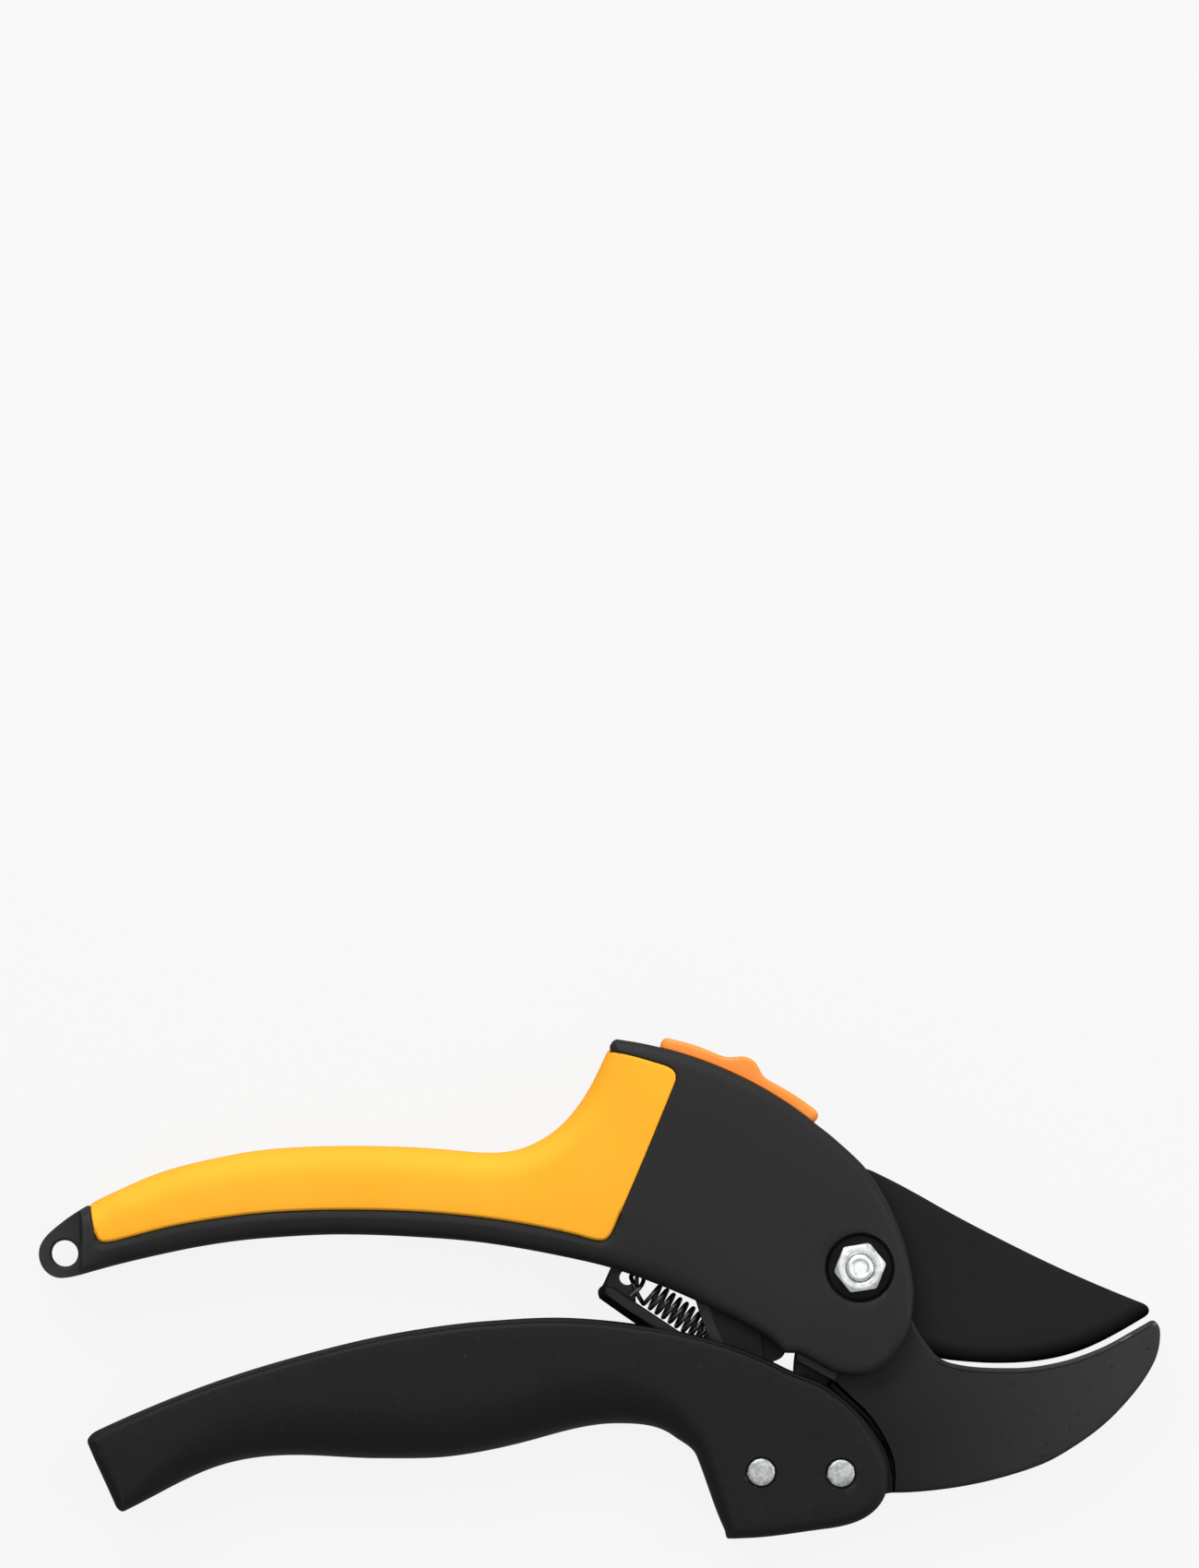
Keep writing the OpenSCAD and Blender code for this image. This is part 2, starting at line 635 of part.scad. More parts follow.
// ---- Lock ----
module lock_button() {
    base_r = track_r + track_gap;
    z0 = (housing_t - button_w) / 2;
    z1 = z0 + button_w;
    color([0.98, 0.52, 0.14])
    difference() {
        union() {
            lock_arc(base_r, base_r + button_t, button_from, button_to, z0, z1);
            lock_arc(base_r + button_t - eps, base_r + button_t + thumb_h, thumb_from, thumb_to, z0, z1);
        }
        lock_arc(track_r - 1, base_r + button_t / 2, neck_from - 0.2, neck_to + 0.2,
                 tongue_z0 - 0.1, tongue_z0 + tongue_w + 0.1);
    }
}

module lock_tongue() {
    tongue_z1 = tongue_z0 + tongue_w;
    neck_w = 4.4;
    color([0.45, 0.45, 0.47])
    union() {
        lock_arc(tongue_r - tongue_h / 2, tongue_r + tongue_h / 2, nose_bearing, neck_to,
                 tongue_z0, tongue_z1);
        translate([lock_at.x, lock_at.y, tongue_z0]) rotate((neck_from + neck_to) / 2)
            translate([tongue_r, -neck_w / 2, 0])
                cube([track_r + track_gap + button_t / 2 - tongue_r, neck_w, tongue_w]);
    }
}

upper_handle();
soft_grip();
cutting_blade();
front_rack_plate();
back_rack_plate();
rack_dowels();
pivot_bolt();
pivot_nut();
nut_washer();
pivot_bush();
thrust_washer();
lower_jaw();
lower_handle();
jaw_rivet();
link_rivet();
spring_anchor_pin();
step_arm();
step_pin();
return_spring();
lock_button();
lock_tongue();
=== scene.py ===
import math

import bmesh
import bpy
import numpy as np
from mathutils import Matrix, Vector
from mathutils.geometry import delaunay_2d_cdt


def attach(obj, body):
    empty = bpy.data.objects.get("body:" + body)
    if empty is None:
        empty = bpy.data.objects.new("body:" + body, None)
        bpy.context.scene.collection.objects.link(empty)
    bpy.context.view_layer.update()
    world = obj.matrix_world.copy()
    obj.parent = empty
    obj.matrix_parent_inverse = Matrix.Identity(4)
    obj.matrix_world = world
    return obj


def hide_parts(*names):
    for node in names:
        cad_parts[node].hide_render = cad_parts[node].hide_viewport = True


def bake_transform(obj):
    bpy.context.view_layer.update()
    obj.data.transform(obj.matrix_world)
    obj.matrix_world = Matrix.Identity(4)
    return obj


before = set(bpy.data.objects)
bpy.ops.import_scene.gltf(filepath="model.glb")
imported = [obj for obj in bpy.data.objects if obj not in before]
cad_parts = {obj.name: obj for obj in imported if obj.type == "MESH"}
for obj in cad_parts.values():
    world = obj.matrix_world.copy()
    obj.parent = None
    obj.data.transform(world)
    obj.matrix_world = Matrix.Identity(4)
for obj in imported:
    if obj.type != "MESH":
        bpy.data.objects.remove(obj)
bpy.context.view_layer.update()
MM = 0.001

# ---------- outlines (mm)
# A knot is [x, y, heading in degrees], with a fourth value where the heading changes at a corner.
# EYE_LUG and SLOT are plain points.
UPPER = [
    [-151.4, 2.5, 90], [-147.1, 8.3, 38], [-133.1, 15.8, 24.5], [-116.1, 20.6, 11.5],
    [-92, 22.3, 0], [-79, 21.85, -3.5], [-67, 21.05, 2], [-61.6, 22.1, 20],
    [-54.8, 26.4, 44], [-51.4, 30.5, 55], [-46.7, 39.4, 65], [-44.6, 41.95, -4, -10],
    [-36.8, 40.25, -14], [-21, 34.6, -26.7], [-7.9, 26.3, -38], [-0.3, 19.7, -44],
    [5.6, 10.9, -63], [9.9, -3.5, -84], [9.6, -9.5, -97], [6.9, -15.4, -128],
    [0.8, -19.7, -171], [-4.9, -19.3, 164, 152], [-11.2, -15.9, 152, 165],
    [-14, -15.7, 170, 142], [-17.4, -12.6, 150], [-31, -5.8, 155.5], [-44, -0.7, 161],
    [-54.8, 2, 168], [-68.4, 4.4, 172], [-82, 5.6, 176.5], [-95.7, 6.05, 180],
    [-109.3, 5.4, 184], [-122.9, 3.6, 190.5], [-133.1, 1.4, 193], [-143, -1.2, 196],
    [-147.1, -2, 182]]
GRIP = [
    [-141.2, 7.1, 101], [-142.2, 12.2, 101, 60], [-140, 30, 60, 0], [-60, 60, 0],
    [-46.6, 42, -76, -90], [-46.3, 39.85, -90, -6], [-41, 38.75, -15.5], [-36.4, 37.4, -17],
    [-33.9, 35.3, -84], [-34.4, 33.3, -112], [-44.3, 9.7, -114], [-45.6, 6.7, -116],
    [-47.6, 4.98, 182], [-52.3, 6, 166], [-66, 8.7, 171.5], [-76.2, 9.9, 174.8],
    [-95, 10.63, 180], [-106.8, 10.3, 183.3], [-117, 9.25, 188.3], [-127.2, 7.5, 192.3],
    [-137, 5, 193.5], [-139.3, 4.65, 180], [-140.6, 5.4, 118]]
LOWER = [
    [-140.4, -30.1, 25], [-129.7, -25.4, 22.5], [-112.7, -19.2, 17.5], [-95.7, -14.5, 14],
    [-82, -11.7, 9], [-68.4, -10.05, 4], [-56.5, -9.45, 0], [-44.6, -10.2, -6.5],
    [-27.6, -13.3, -15], [-14, -18.6, -27], [-5.5, -22.4, -35], [1.4, -29, -56],
    [5.1, -36.2, -78], [4.9, -41.2, -104], [1, -46.1, -150], [-7.1, -48.3, -173],
    [-20.8, -49.9, -178], [-24.2, -50, 178], [-25, -48.3, 115], [-30.1, -34.8, 112],
    [-34.4, -31.1, 143], [-44.6, -28.85, 180], [-58.2, -31.3, 196], [-75.2, -34.9, 187],
    [-88.8, -35.3, 180], [-104, -34.7, 180], [-119.5, -37.1, 200], [-133.1, -43.7, 207],
    [-135.5, -44.9, 205], [-137.3, -43.7, 113], [-142.3, -32.5, 112]]
BLADE_SPINE = [
    [-34, 12, 0], [-14, 13, 4], [-5, 16.6, 30], [-0.2, 18.2, 0], [2.2, 17.75, -25],
    [13.3, 11.9, -30], [30.3, 2.95, -26.5], [51.2, -6.3, -21.5], [53.4, -7.9, -80],
    [52.5, -9.3, -149]]
BLADE_EDGE = [[52.5, -9.3, -149], [40.5, -15.5, -160], [25.5, -17.75, -180], [16.7, -17.2, 174]]
BLADE_HUB = [
    [16.7, -17.2, 174], [9, -15.2, 164], [3, -12.6, 164], [-6, -10.6, 165], [-14, -4, 130],
    [-20, 1.2, 158], [-34, 4, 180, 90]]
JAW = [
    [8.6, -3.4, -76], [9.8, -10, -62], [13.5, -15.6, -52], [17, -17.75, -14],
    [28.5, -18.65, 0], [37.1, -17.5, 13], [43.9, -15.2, 22], [50.7, -11.6, 29],
    [53.5, -10, 30], [55.4, -12, -88], [54.1, -17.9, -117], [47.3, -26.9, -134],
    [37.1, -34.6, -149], [26.9, -38.6, -164], [13.3, -41.2, -174], [6.5, -41.6, -180],
    [-3.5, -44.7, 180], [-10.3, -37.9, 90], [-11.6, -26, 97], [-12.3, -19, 88],
    [-11.7, -14.5, 76], [-9, 0, 90], [0, 9, 0]]
RELIEF = [[-4.6, -21, -47], [3.1, -29, -57], [6.3, -36, -80], [6.2, -43, -95]]
RELIEF_BAND = ([-42, -37, -28, -22], [0.15, 0.8, 1.3, 1.7])  # y, width of the deep groove
RACK = [
    [-62, 13.6, -90], [-60.6, 11.6, -20], [-56.2, 10.2, -38], [-52.4, 7.4, -30],
    [-48.4, 5.6, -12], [-44, 5, 0], [-40.4, 5.2, -30], [-37, 1.6, -40],
    [-31.7, -1.2, -70], [-30.5, -5.4, -73], [-28.9, -10.4, -70], [-27.3, -14.2, -66, -18],
    [-17.2, -18.2, -18, 40], [-15.7, -17.3, 22], [-14.2, -16.4, 52], [-13.6, -14.8, 88],
    [-13.5, -13, 80, -10], [-11.7, -13, -10, -90], [-11.7, -17.2, -90, -28],
    [-4.5, -21.1, -28, 84], [-3.6, -18.6, 40, -8], [0.8, -18.6, 8], [6, -14.7, 52],
    [8.6, -9.5, 83], [8.9, -3.5, 96], [4.6, 10.6, 117], [0, 15.2, 150],
    [-10, 15, 180], [-59, 15.2, 180]]
ARM = [
    [-14.4, -36, 100], [-17.8, -29, 118], [-26.5, -18.5, 138], [-33.5, -12.6, 144],
    [-41.2, -7.2, 140, 96], [-41.4, 2.4, 90, 170], [-44.6, 4.8, 190], [-46.3, 2.2, -90],
    [-46, -0.3, -104, -116], [-47.5, -3.5, -120, -80], [-47.3, -5.2, -70, -36],
    [-40, -10.1, -34], [-33.5, -15.2, -40], [-29, -20.6, -56], [-25, -29, -68],
    [-22, -37.5, -84]]
RAIL = [
    [-42, -6.1, 146], [-45.4, -3.8, 146, 176], [-47.4, -3.4, 186, 220], [-48.2, -4.2, -112],
    [-48, -5.8, -64, -36], [-40, -11.4, -34], [-32.9, -16.3, -35, 55],
    [-30.6, -13.7, 55, 146]]
EYE_LUG = [
    [-47.2, -4.6], [-42.8, -7.2], [-41.3, -5.6], [-40.7, -3.2], [-40.8, -0.6], [-41.5, 2],
    [-45.6, 2], [-45.8, -0.9]]
SLOT = [[-64, -20], [-64, 7], [-62.6, 15.8], [-12, 15.8], [-6, 18], [-1, 20.6], [1.5, 30],
        [40, 30], [40, -60], [-64, -60]]
LOCK_AT = np.array([-54.5, -31.9])  # centre of the arc that the lock slides on
TRACK_R = 74.5  # that arc's radius at the handle's back
JAW_RIVET = (-3.5, -37.9)
LINK_RIVET = (-18.2, -37.7)
STEP_PIN = (-44.0, 2.5)
EYE = (-42.9, -1.95)
ANCHOR = (-17.0, -19.6)
DOWELS = ((-15, 9), (-28, 8))
NOTCHES = ((-44.4, 3.3), (-49.2, 4.3), (-53.8, 6.3))
HANG = (-146.6, 2.5)
PIVOT = (0.0, 0.0)
# BLADE_ARC centres the blade's painted shade, which darkens its colour and gloss towards the
# cutting edge.
BLADE_ARC = ((25.2, 30.1, 8.0), 48.0)  # centre and radius that follow the cutting edge

# ---------- heights and sizes (mm)
THICK = 20.0  # upper handle, from the rest plane
LOWER_TOP = 19.0  # lower handle, the same distance inside both faces
BLADE_Z = (6.4, 9.6)
JAW_Z = (9.7, 13.7)
RACK_Z = (14.1, 15.5)
ARM_Z = (6.9, 13.5)
SPRING_Z = 11.55
LOCK_SLOT_Z = (9.6, 13.8)
JAW_SLOT_Z = (9.6, 13.8)
NUT_Z = (18.2, 21.8)
HEAD_Z = (0.3, 3.3)
HEX_FLATS = 8.46  # width of the nut and of the bolt's head
HEX_SPIN = 9  # their turn, in degrees
BOLT_BORE = 2.6  # radii, as the two below
RIVET_BORE = 2.56
DOWEL_BORE = 1.55
BEVEL = 6.6  # width of the blade's ground bevel

RINGS = [0.035, 0.134, 0.293, 0.5, 0.741, 1.0]  # shares of a roll's width that get points
# Distances from a seam or a step line that get a row of points each
SEAM_OFFSETS = (-1.25, -0.75, -0.45, -0.25, -0.1, 0.1, 0.25, 0.45, 0.75, 1.25)
STEP_OFFSETS = (-0.5, -0.12, 0.12, 0.5)
KEPT_SHARE = 0.93  # a point goes if it lies nearer to its line than this share of its offset
LOOP_GAP, LINE_GAP = 0.03, 0.07  # least distance between the free points and the lines
TURN_STEP = 7  # degrees between the points of a curve
CHUNK = 2000  # rows of a distance table worked at once
SHARP = 32  # degrees, above which an edge is shaded sharp


def bend(a, b):
    """Angle between two headings, in degrees."""
    return abs((b - a + 900) % 360 - 180)


def span(p, q, step):
    """Points of one cubic span between two knots, without its last point."""
    out, into = (p[3] if len(p) > 3 else p[2]), q[2]
    chord = math.hypot(q[0] - p[0], q[1] - p[1])
    m = chord / math.cos(math.radians(bend(out, into) / 4)) ** 2
    way = math.degrees(math.atan2(q[1] - p[1], q[0] - p[0]))
    steps = max(1, math.ceil(max(chord / step, (bend(out, way) + bend(way, into)) / TURN_STEP)))
    t = (np.arange(steps) / steps)[:, None]
    a = np.array([math.cos(math.radians(out)), math.sin(math.radians(out))]) * m
    b = np.array([math.cos(math.radians(into)), math.sin(math.radians(into))]) * m
    p0, q0 = np.array(p[:2], float), np.array(q[:2], float)
    return (p0 * (2 * t ** 3 - 3 * t ** 2 + 1) + a * (t ** 3 - 2 * t ** 2 + t)
            + q0 * (3 * t ** 2 - 2 * t ** 3) + b * (t ** 3 - t ** 2))


def line(knots, step=1.0):
    """Open smooth curve through knots."""
    return np.vstack([span(p, q, step) for p, q in zip(knots, knots[1:])]
                     + [np.array([knots[-1][:2]], float)])


def loop(knots, step=1.0):
    """Closed smooth curve through knots."""
    return np.vstack([span(p, q, step) for p, q in zip(knots, knots[1:] + knots[:1])])


def circle(at, r, count=48):
    a = np.arange(count) * 2 * math.pi / count
    return np.array(at) + r * np.stack([np.cos(a), np.sin(a)], 1)


def turned(points, degrees):
    """Points turned anticlockwise about the origin."""
    c, s = math.cos(math.radians(degrees)), math.sin(math.radians(degrees))
    return np.asarray(points) @ np.array([[c, s], [-s, c]])


def signed_area(points):
    x, y = points[:, 0], points[:, 1]
    return 0.5 * float(np.sum(x * np.roll(y, -1) - y * np.roll(x, -1)))


def inside(points, poly):
    """Even-odd test of points against one closed loop."""
    a, b = poly, np.roll(poly, -1, 0)
    hit = np.zeros(len(points), bool)
    for s in range(0, len(points), CHUNK):
        x, y = points[s:s + CHUNK, 0:1], points[s:s + CHUNK, 1:2]
        cross = (a[:, 1] > y) != (b[:, 1] > y)
        slope = (b[:, 0] - a[:, 0]) / np.where(b[:, 1] == a[:, 1], 1, b[:, 1] - a[:, 1])
        hit[s:s + CHUNK] = (cross & (x < a[:, 0] + slope * (y - a[:, 1]))).sum(1) % 2 == 1
    return hit


def nearest(points, path, closed=True):
    """Distance to a path, the index of the nearest segment and the place along it."""
    a = path if closed else path[:-1]
    b = np.roll(path, -1, 0) if closed else path[1:]
    d = b - a
    dd = np.maximum((d ** 2).sum(1), 1e-12)
    dist, seg, frac = np.empty(len(points)), np.empty(len(points), int), np.empty(len(points))
    for s in range(0, len(points), CHUNK):
        rows = slice(s, s + CHUNK)
        p = points[rows]
        t = np.clip(((p[:, None, :] - a) * d).sum(2) / dd, 0, 1)
        off = p[:, None, :] - (a + t[:, :, None] * d)
        e = (off ** 2).sum(2)
        k = e.argmin(1)
        i = np.arange(len(p))
        dist[rows], seg[rows], frac[rows] = np.sqrt(e[i, k]), k, t[i, k]
    return dist, seg, frac


def along_loop(values, seg, frac):
    """Values at the points of a loop, read at the places that nearest() gives."""
    return values[seg] * (1 - frac) + values[(seg + 1) % len(values)] * frac


def unit_normals(d):
    """Unit vectors to the left of the directions d."""
    return np.stack([-d[:, 1], d[:, 0]], 1) / np.maximum(np.linalg.norm(d, axis=1), 1e-9)[:, None]


def normals_in(points):
    """Unit normals that point into the region a closed loop bounds."""
    n = unit_normals(np.roll(points, -1, 0) - np.roll(points, 1, 0))
    return n if signed_area(points) > 0 else -n


def smooth_ring(values, passes):
    """Values round a loop, averaged with their neighbours."""
    for _ in range(passes):
        values = (np.roll(values, 1) + 2 * values + np.roll(values, -1)) / 4
    return values


def quarter(x):
    """Fall of a quarter round, 0 at x = 0 and 1 at x = 1."""
    return 1 - np.sqrt(np.maximum(1 - x ** 2, 0))


def corner_limit(points, widths, share=0.9, growth=0.6, passes=6):
    """Keeps a roll narrower than the convex corners it runs round, and lets it widen slowly."""
    a, b = points - np.roll(points, 1, 0), np.roll(points, -1, 0) - points
    la, lb = np.linalg.norm(a, axis=1), np.linalg.norm(b, axis=1)
    turn = np.arcsin(np.clip((a[:, 0] * b[:, 1] - a[:, 1] * b[:, 0]) / (la * lb), -1, 1))
    if signed_area(points) < 0:
        turn = -turn
    radius = np.where(turn > 1e-3, (la + lb) / 2 / np.maximum(turn, 1e-3), 1e3)
    out = np.minimum(widths, share * radius)
    for _ in range(passes):
        near = np.minimum(np.roll(out, 1) + growth * la, np.roll(out, -1) + growth * lb)
        out = np.minimum(out, near)
    return out


class Plate:
    """A closed solid over a plan region: its top and bottom are height fields.

    widths is the width of the rolled edge at each point of the outer loop. xy are the plan points,
    d their distance to the outer loop, w the roll's width and n the inward normal there. tri are
    the triangles and mid their middles."""

    def __init__(self, outer, widths, holes=(), hole_width=0.25, seam=None, steps=(), grid=3.0):
        self.loops = [outer] + list(holes)
        if not np.ndim(widths):
            widths = np.full(len(outer), float(widths))
        widths = [np.asarray(widths, float)] + [np.full(len(h), hole_width) for h in holes]
        lines = ([(seam, True)] if seam is not None else []) + [(s, False) for s in steps]
        pts, edges = [], []
        for path, closed in [(lp, True) for lp in self.loops] + lines:
            k, n = sum(map(len, pts)), len(path)
            pts.append(path)
            edges += [(k + i, k + (i + 1) % n) for i in range(n if closed else n - 1)]
        free = []  # points inside the region, which the triangles run through
        for i, (lp, w) in enumerate(zip(self.loops, widths)):
            n = normals_in(lp) if i == 0 else -normals_in(lp)
            for s in RINGS:
                p = lp + n * (w * s)[:, None]
                free.append(p[nearest(p, lp)[0] >= KEPT_SHARE * w * s])
        for path, closed in lines:
            n = unit_normals(np.gradient(path, axis=0))
            for off in SEAM_OFFSETS if closed else STEP_OFFSETS:
                p = path + n * off
                free.append(p[nearest(p, path, closed)[0] >= KEPT_SHARE * abs(off)])
        lo, hi = outer.min(0), outer.max(0)
        gx, gy = np.meshgrid(np.arange(lo[0], hi[0], grid), np.arange(lo[1], hi[1], grid * 0.87))
        gx[1::2] += grid / 2
        g = np.stack([gx.ravel(), gy.ravel()], 1)
        d, seg, _ = nearest(g, outer)
        free.append(g[d > widths[0][seg] + grid * 0.4])
        extra = np.vstack(free)
        keep = self.within(extra)
        for lp in self.loops:
            keep &= nearest(extra, lp)[0] > LOOP_GAP
        for path, closed in lines:
            keep &= nearest(extra, path, closed)[0] > LINE_GAP
        allp = np.vstack(pts + [extra[keep]])
        verts, _, faces, *_ = delaunay_2d_cdt([Vector(p) for p in allp], edges, [], 0, 1e-4)
        self.xy = np.array([v[:] for v in verts])
        tri = np.array([f for f in faces if len(f) == 3])
        self.tri = tri[self.within(self.xy[tri].mean(1))]
        self.mid = self.xy[self.tri].mean(1)
        self.d, seg, frac = nearest(self.xy, outer)
        self.w = along_loop(widths[0], seg, frac)
        self.n = normals_in(outer)[seg]

    def within(self, p):
        ok = inside(p, self.loops[0])
        for h in self.loops[1:]:
            ok &= ~inside(p, h)
        return ok

    def roll(self, h, w=None):
        """Height lost to the rolled edge of the outer loop, h at the very edge."""
        w = self.w if w is None else w
        return h * quarter(1 - np.clip(self.d / np.maximum(w, 1e-6), 0, 1))

    def solid(self, name, top, bottom, pick=None, xy=None, angle=SHARP):
        """Mesh object of the picked triangles between the two height fields."""
        tri = self.tri if pick is None else self.tri[pick]
        xy = self.xy if xy is None else xy
        used, inv = np.unique(tri, return_inverse=True)
        tri = inv.reshape(tri.shape)
        xy, top, bottom = xy[used], top[used], bottom[used]
        n = len(used)
        v = np.vstack([np.column_stack([xy, top]), np.column_stack([xy, bottom])]) * MM
        tri = [tuple(t) for t in tri.tolist()]
        sides = dict.fromkeys(e for a, b, c in tri for e in ((a, b), (b, c), (c, a)))
        rim = [e for e in sides if (e[1], e[0]) not in sides]
        faces = tri + [(c + n, b + n, a + n) for a, b, c in tri]
        faces += [(a + n, b + n, b, a) for a, b in rim]
        return new_object(name, v, faces, angle)


def place(name, data):
    obj = bpy.data.objects.new(name, data)
    bpy.context.scene.collection.objects.link(obj)
    return obj


def new_object(name, verts, faces, angle=SHARP):
    mesh = bpy.data.meshes.new(name)
    mesh.from_pydata([tuple(p) for p in np.asarray(verts).tolist()], [], [tuple(f) for f in faces])
    mesh.update()
    finish_mesh(mesh, angle)
    return place(name, mesh)


def finish_mesh(mesh, angle):
    """Smooth shading, with edges sharper than the angle left sharp."""
    mesh.shade_smooth()
    mesh.set_sharp_from_angle(angle=math.radians(angle))


def strip_faces(rings, sides):
    """Faces of a rod whose vertices are rings of as many sides, closed at both ends."""
    faces = []
    for a in range(0, (rings - 1) * sides, sides):
        b = a + sides
        faces += [(a + k, a + (k + 1) % sides, b + (k + 1) % sides, b + k) for k in range(sides)]
    return faces + [tuple(range(sides))[::-1],
                    tuple((rings - 1) * sides + k for k in range(sides))]


def face_outward(obj, angle):
    """Turns every face of a closed mesh outwards."""
    bm = bmesh.new()
    bm.from_mesh(obj.data)
    bmesh.ops.recalc_face_normals(bm, faces=bm.faces)
    bm.to_mesh(obj.data)
    bm.free()
    finish_mesh(obj.data, angle)
    return obj


def prism(name, points, z0, z1):
    """Outline raised from z0 to z1."""
    points = np.asarray(points, float)
    if signed_area(points) < 0:
        points = points[::-1]
    n = len(points)
    v = np.vstack([np.column_stack([points, np.full(n, z)]) for z in (z0, z1)])
    faces = [tuple(range(n))[::-1], tuple(range(n, 2 * n))]
    faces += [(i, (i + 1) % n, n + (i + 1) % n, n + i) for i in range(n)]
    return new_object(name, v * MM, faces)


def lathe(name, at, profile, count=64, angle=SHARP):
    """Solid of revolution about a line along Z.

    profile is [r, z] from bottom to top, with r = 0 at both ends."""
    a = np.arange(count) * 2 * math.pi / count
    verts, rings = [], []
    for r, z in profile:
        if r < 1e-6:
            rings.append([len(verts)])
            verts.append((at[0], at[1], z))
        else:
            rings.append(list(range(len(verts), len(verts) + count)))
            verts += [(at[0] + r * math.cos(t), at[1] + r * math.sin(t), z) for t in a]
    faces = []
    for lo, hi in zip(rings, rings[1:]):
        for i in range(count):
            j = (i + 1) % count
            if len(lo) == 1:
                faces.append((lo[0], hi[j], hi[i]))
            elif len(hi) == 1:
                faces.append((lo[i], lo[j], hi[0]))
            else:
                faces.append((lo[i], lo[j], hi[j], hi[i]))
    return new_object(name, np.array(verts) * MM, faces, angle)


def tube_lathe(name, at, profile, count=64, angle=SHARP):
    """Ring of revolution: profile is a closed [r, z] loop, anticlockwise in the r-z plane."""
    a = np.arange(count) * 2 * math.pi / count
    m = len(profile)
    verts = [(at[0] + r * math.cos(t), at[1] + r * math.sin(t), z) for t in a for r, z in profile]
    faces = []
    for i in range(count):
        j = (i + 1) % count
        faces += [(i * m + k, j * m + k, j * m + (k + 1) % m, i * m + (k + 1) % m)
                  for k in range(m)]
    return new_object(name, np.array(verts) * MM, faces, angle)


def boolean(obj, other, op="DIFFERENCE", angle=SHARP):
    """Cuts another object out of this one, or joins it on. The other object goes."""
    mod = obj.modifiers.new("cut", "BOOLEAN")
    mod.operation, mod.object, mod.solver = op, other, "EXACT"
    mod.material_mode = "TRANSFER"
    dg = bpy.context.evaluated_depsgraph_get()
    mesh = bpy.data.meshes.new_from_object(obj.evaluated_get(dg))
    obj.modifiers.clear()
    obj.data = mesh
    bpy.data.objects.remove(other)
    finish_mesh(mesh, angle)
    return obj


def arc_poly(r0, r1, from_deg, to_deg, steps=40):
    """Outline between two radii round the lock's centre."""
    a = np.radians(np.linspace(from_deg, to_deg, steps))
    d = np.stack([np.cos(a), np.sin(a)], 1)
    return np.vstack([LOCK_AT + r1 * d, (LOCK_AT + r0 * d)[::-1]])


# ---------- materials
def srgb(r, g, b):
    """Linear RGBA of an 8-bit sRGB colour."""
    return tuple(((c / 255) / 12.92 if c / 255 <= 0.04045 else ((c / 255 + 0.055) / 1.055) ** 2.4)
                 for c in (r, g, b)) + (1.0,)


def grey(level):
    return srgb(level, level, level)


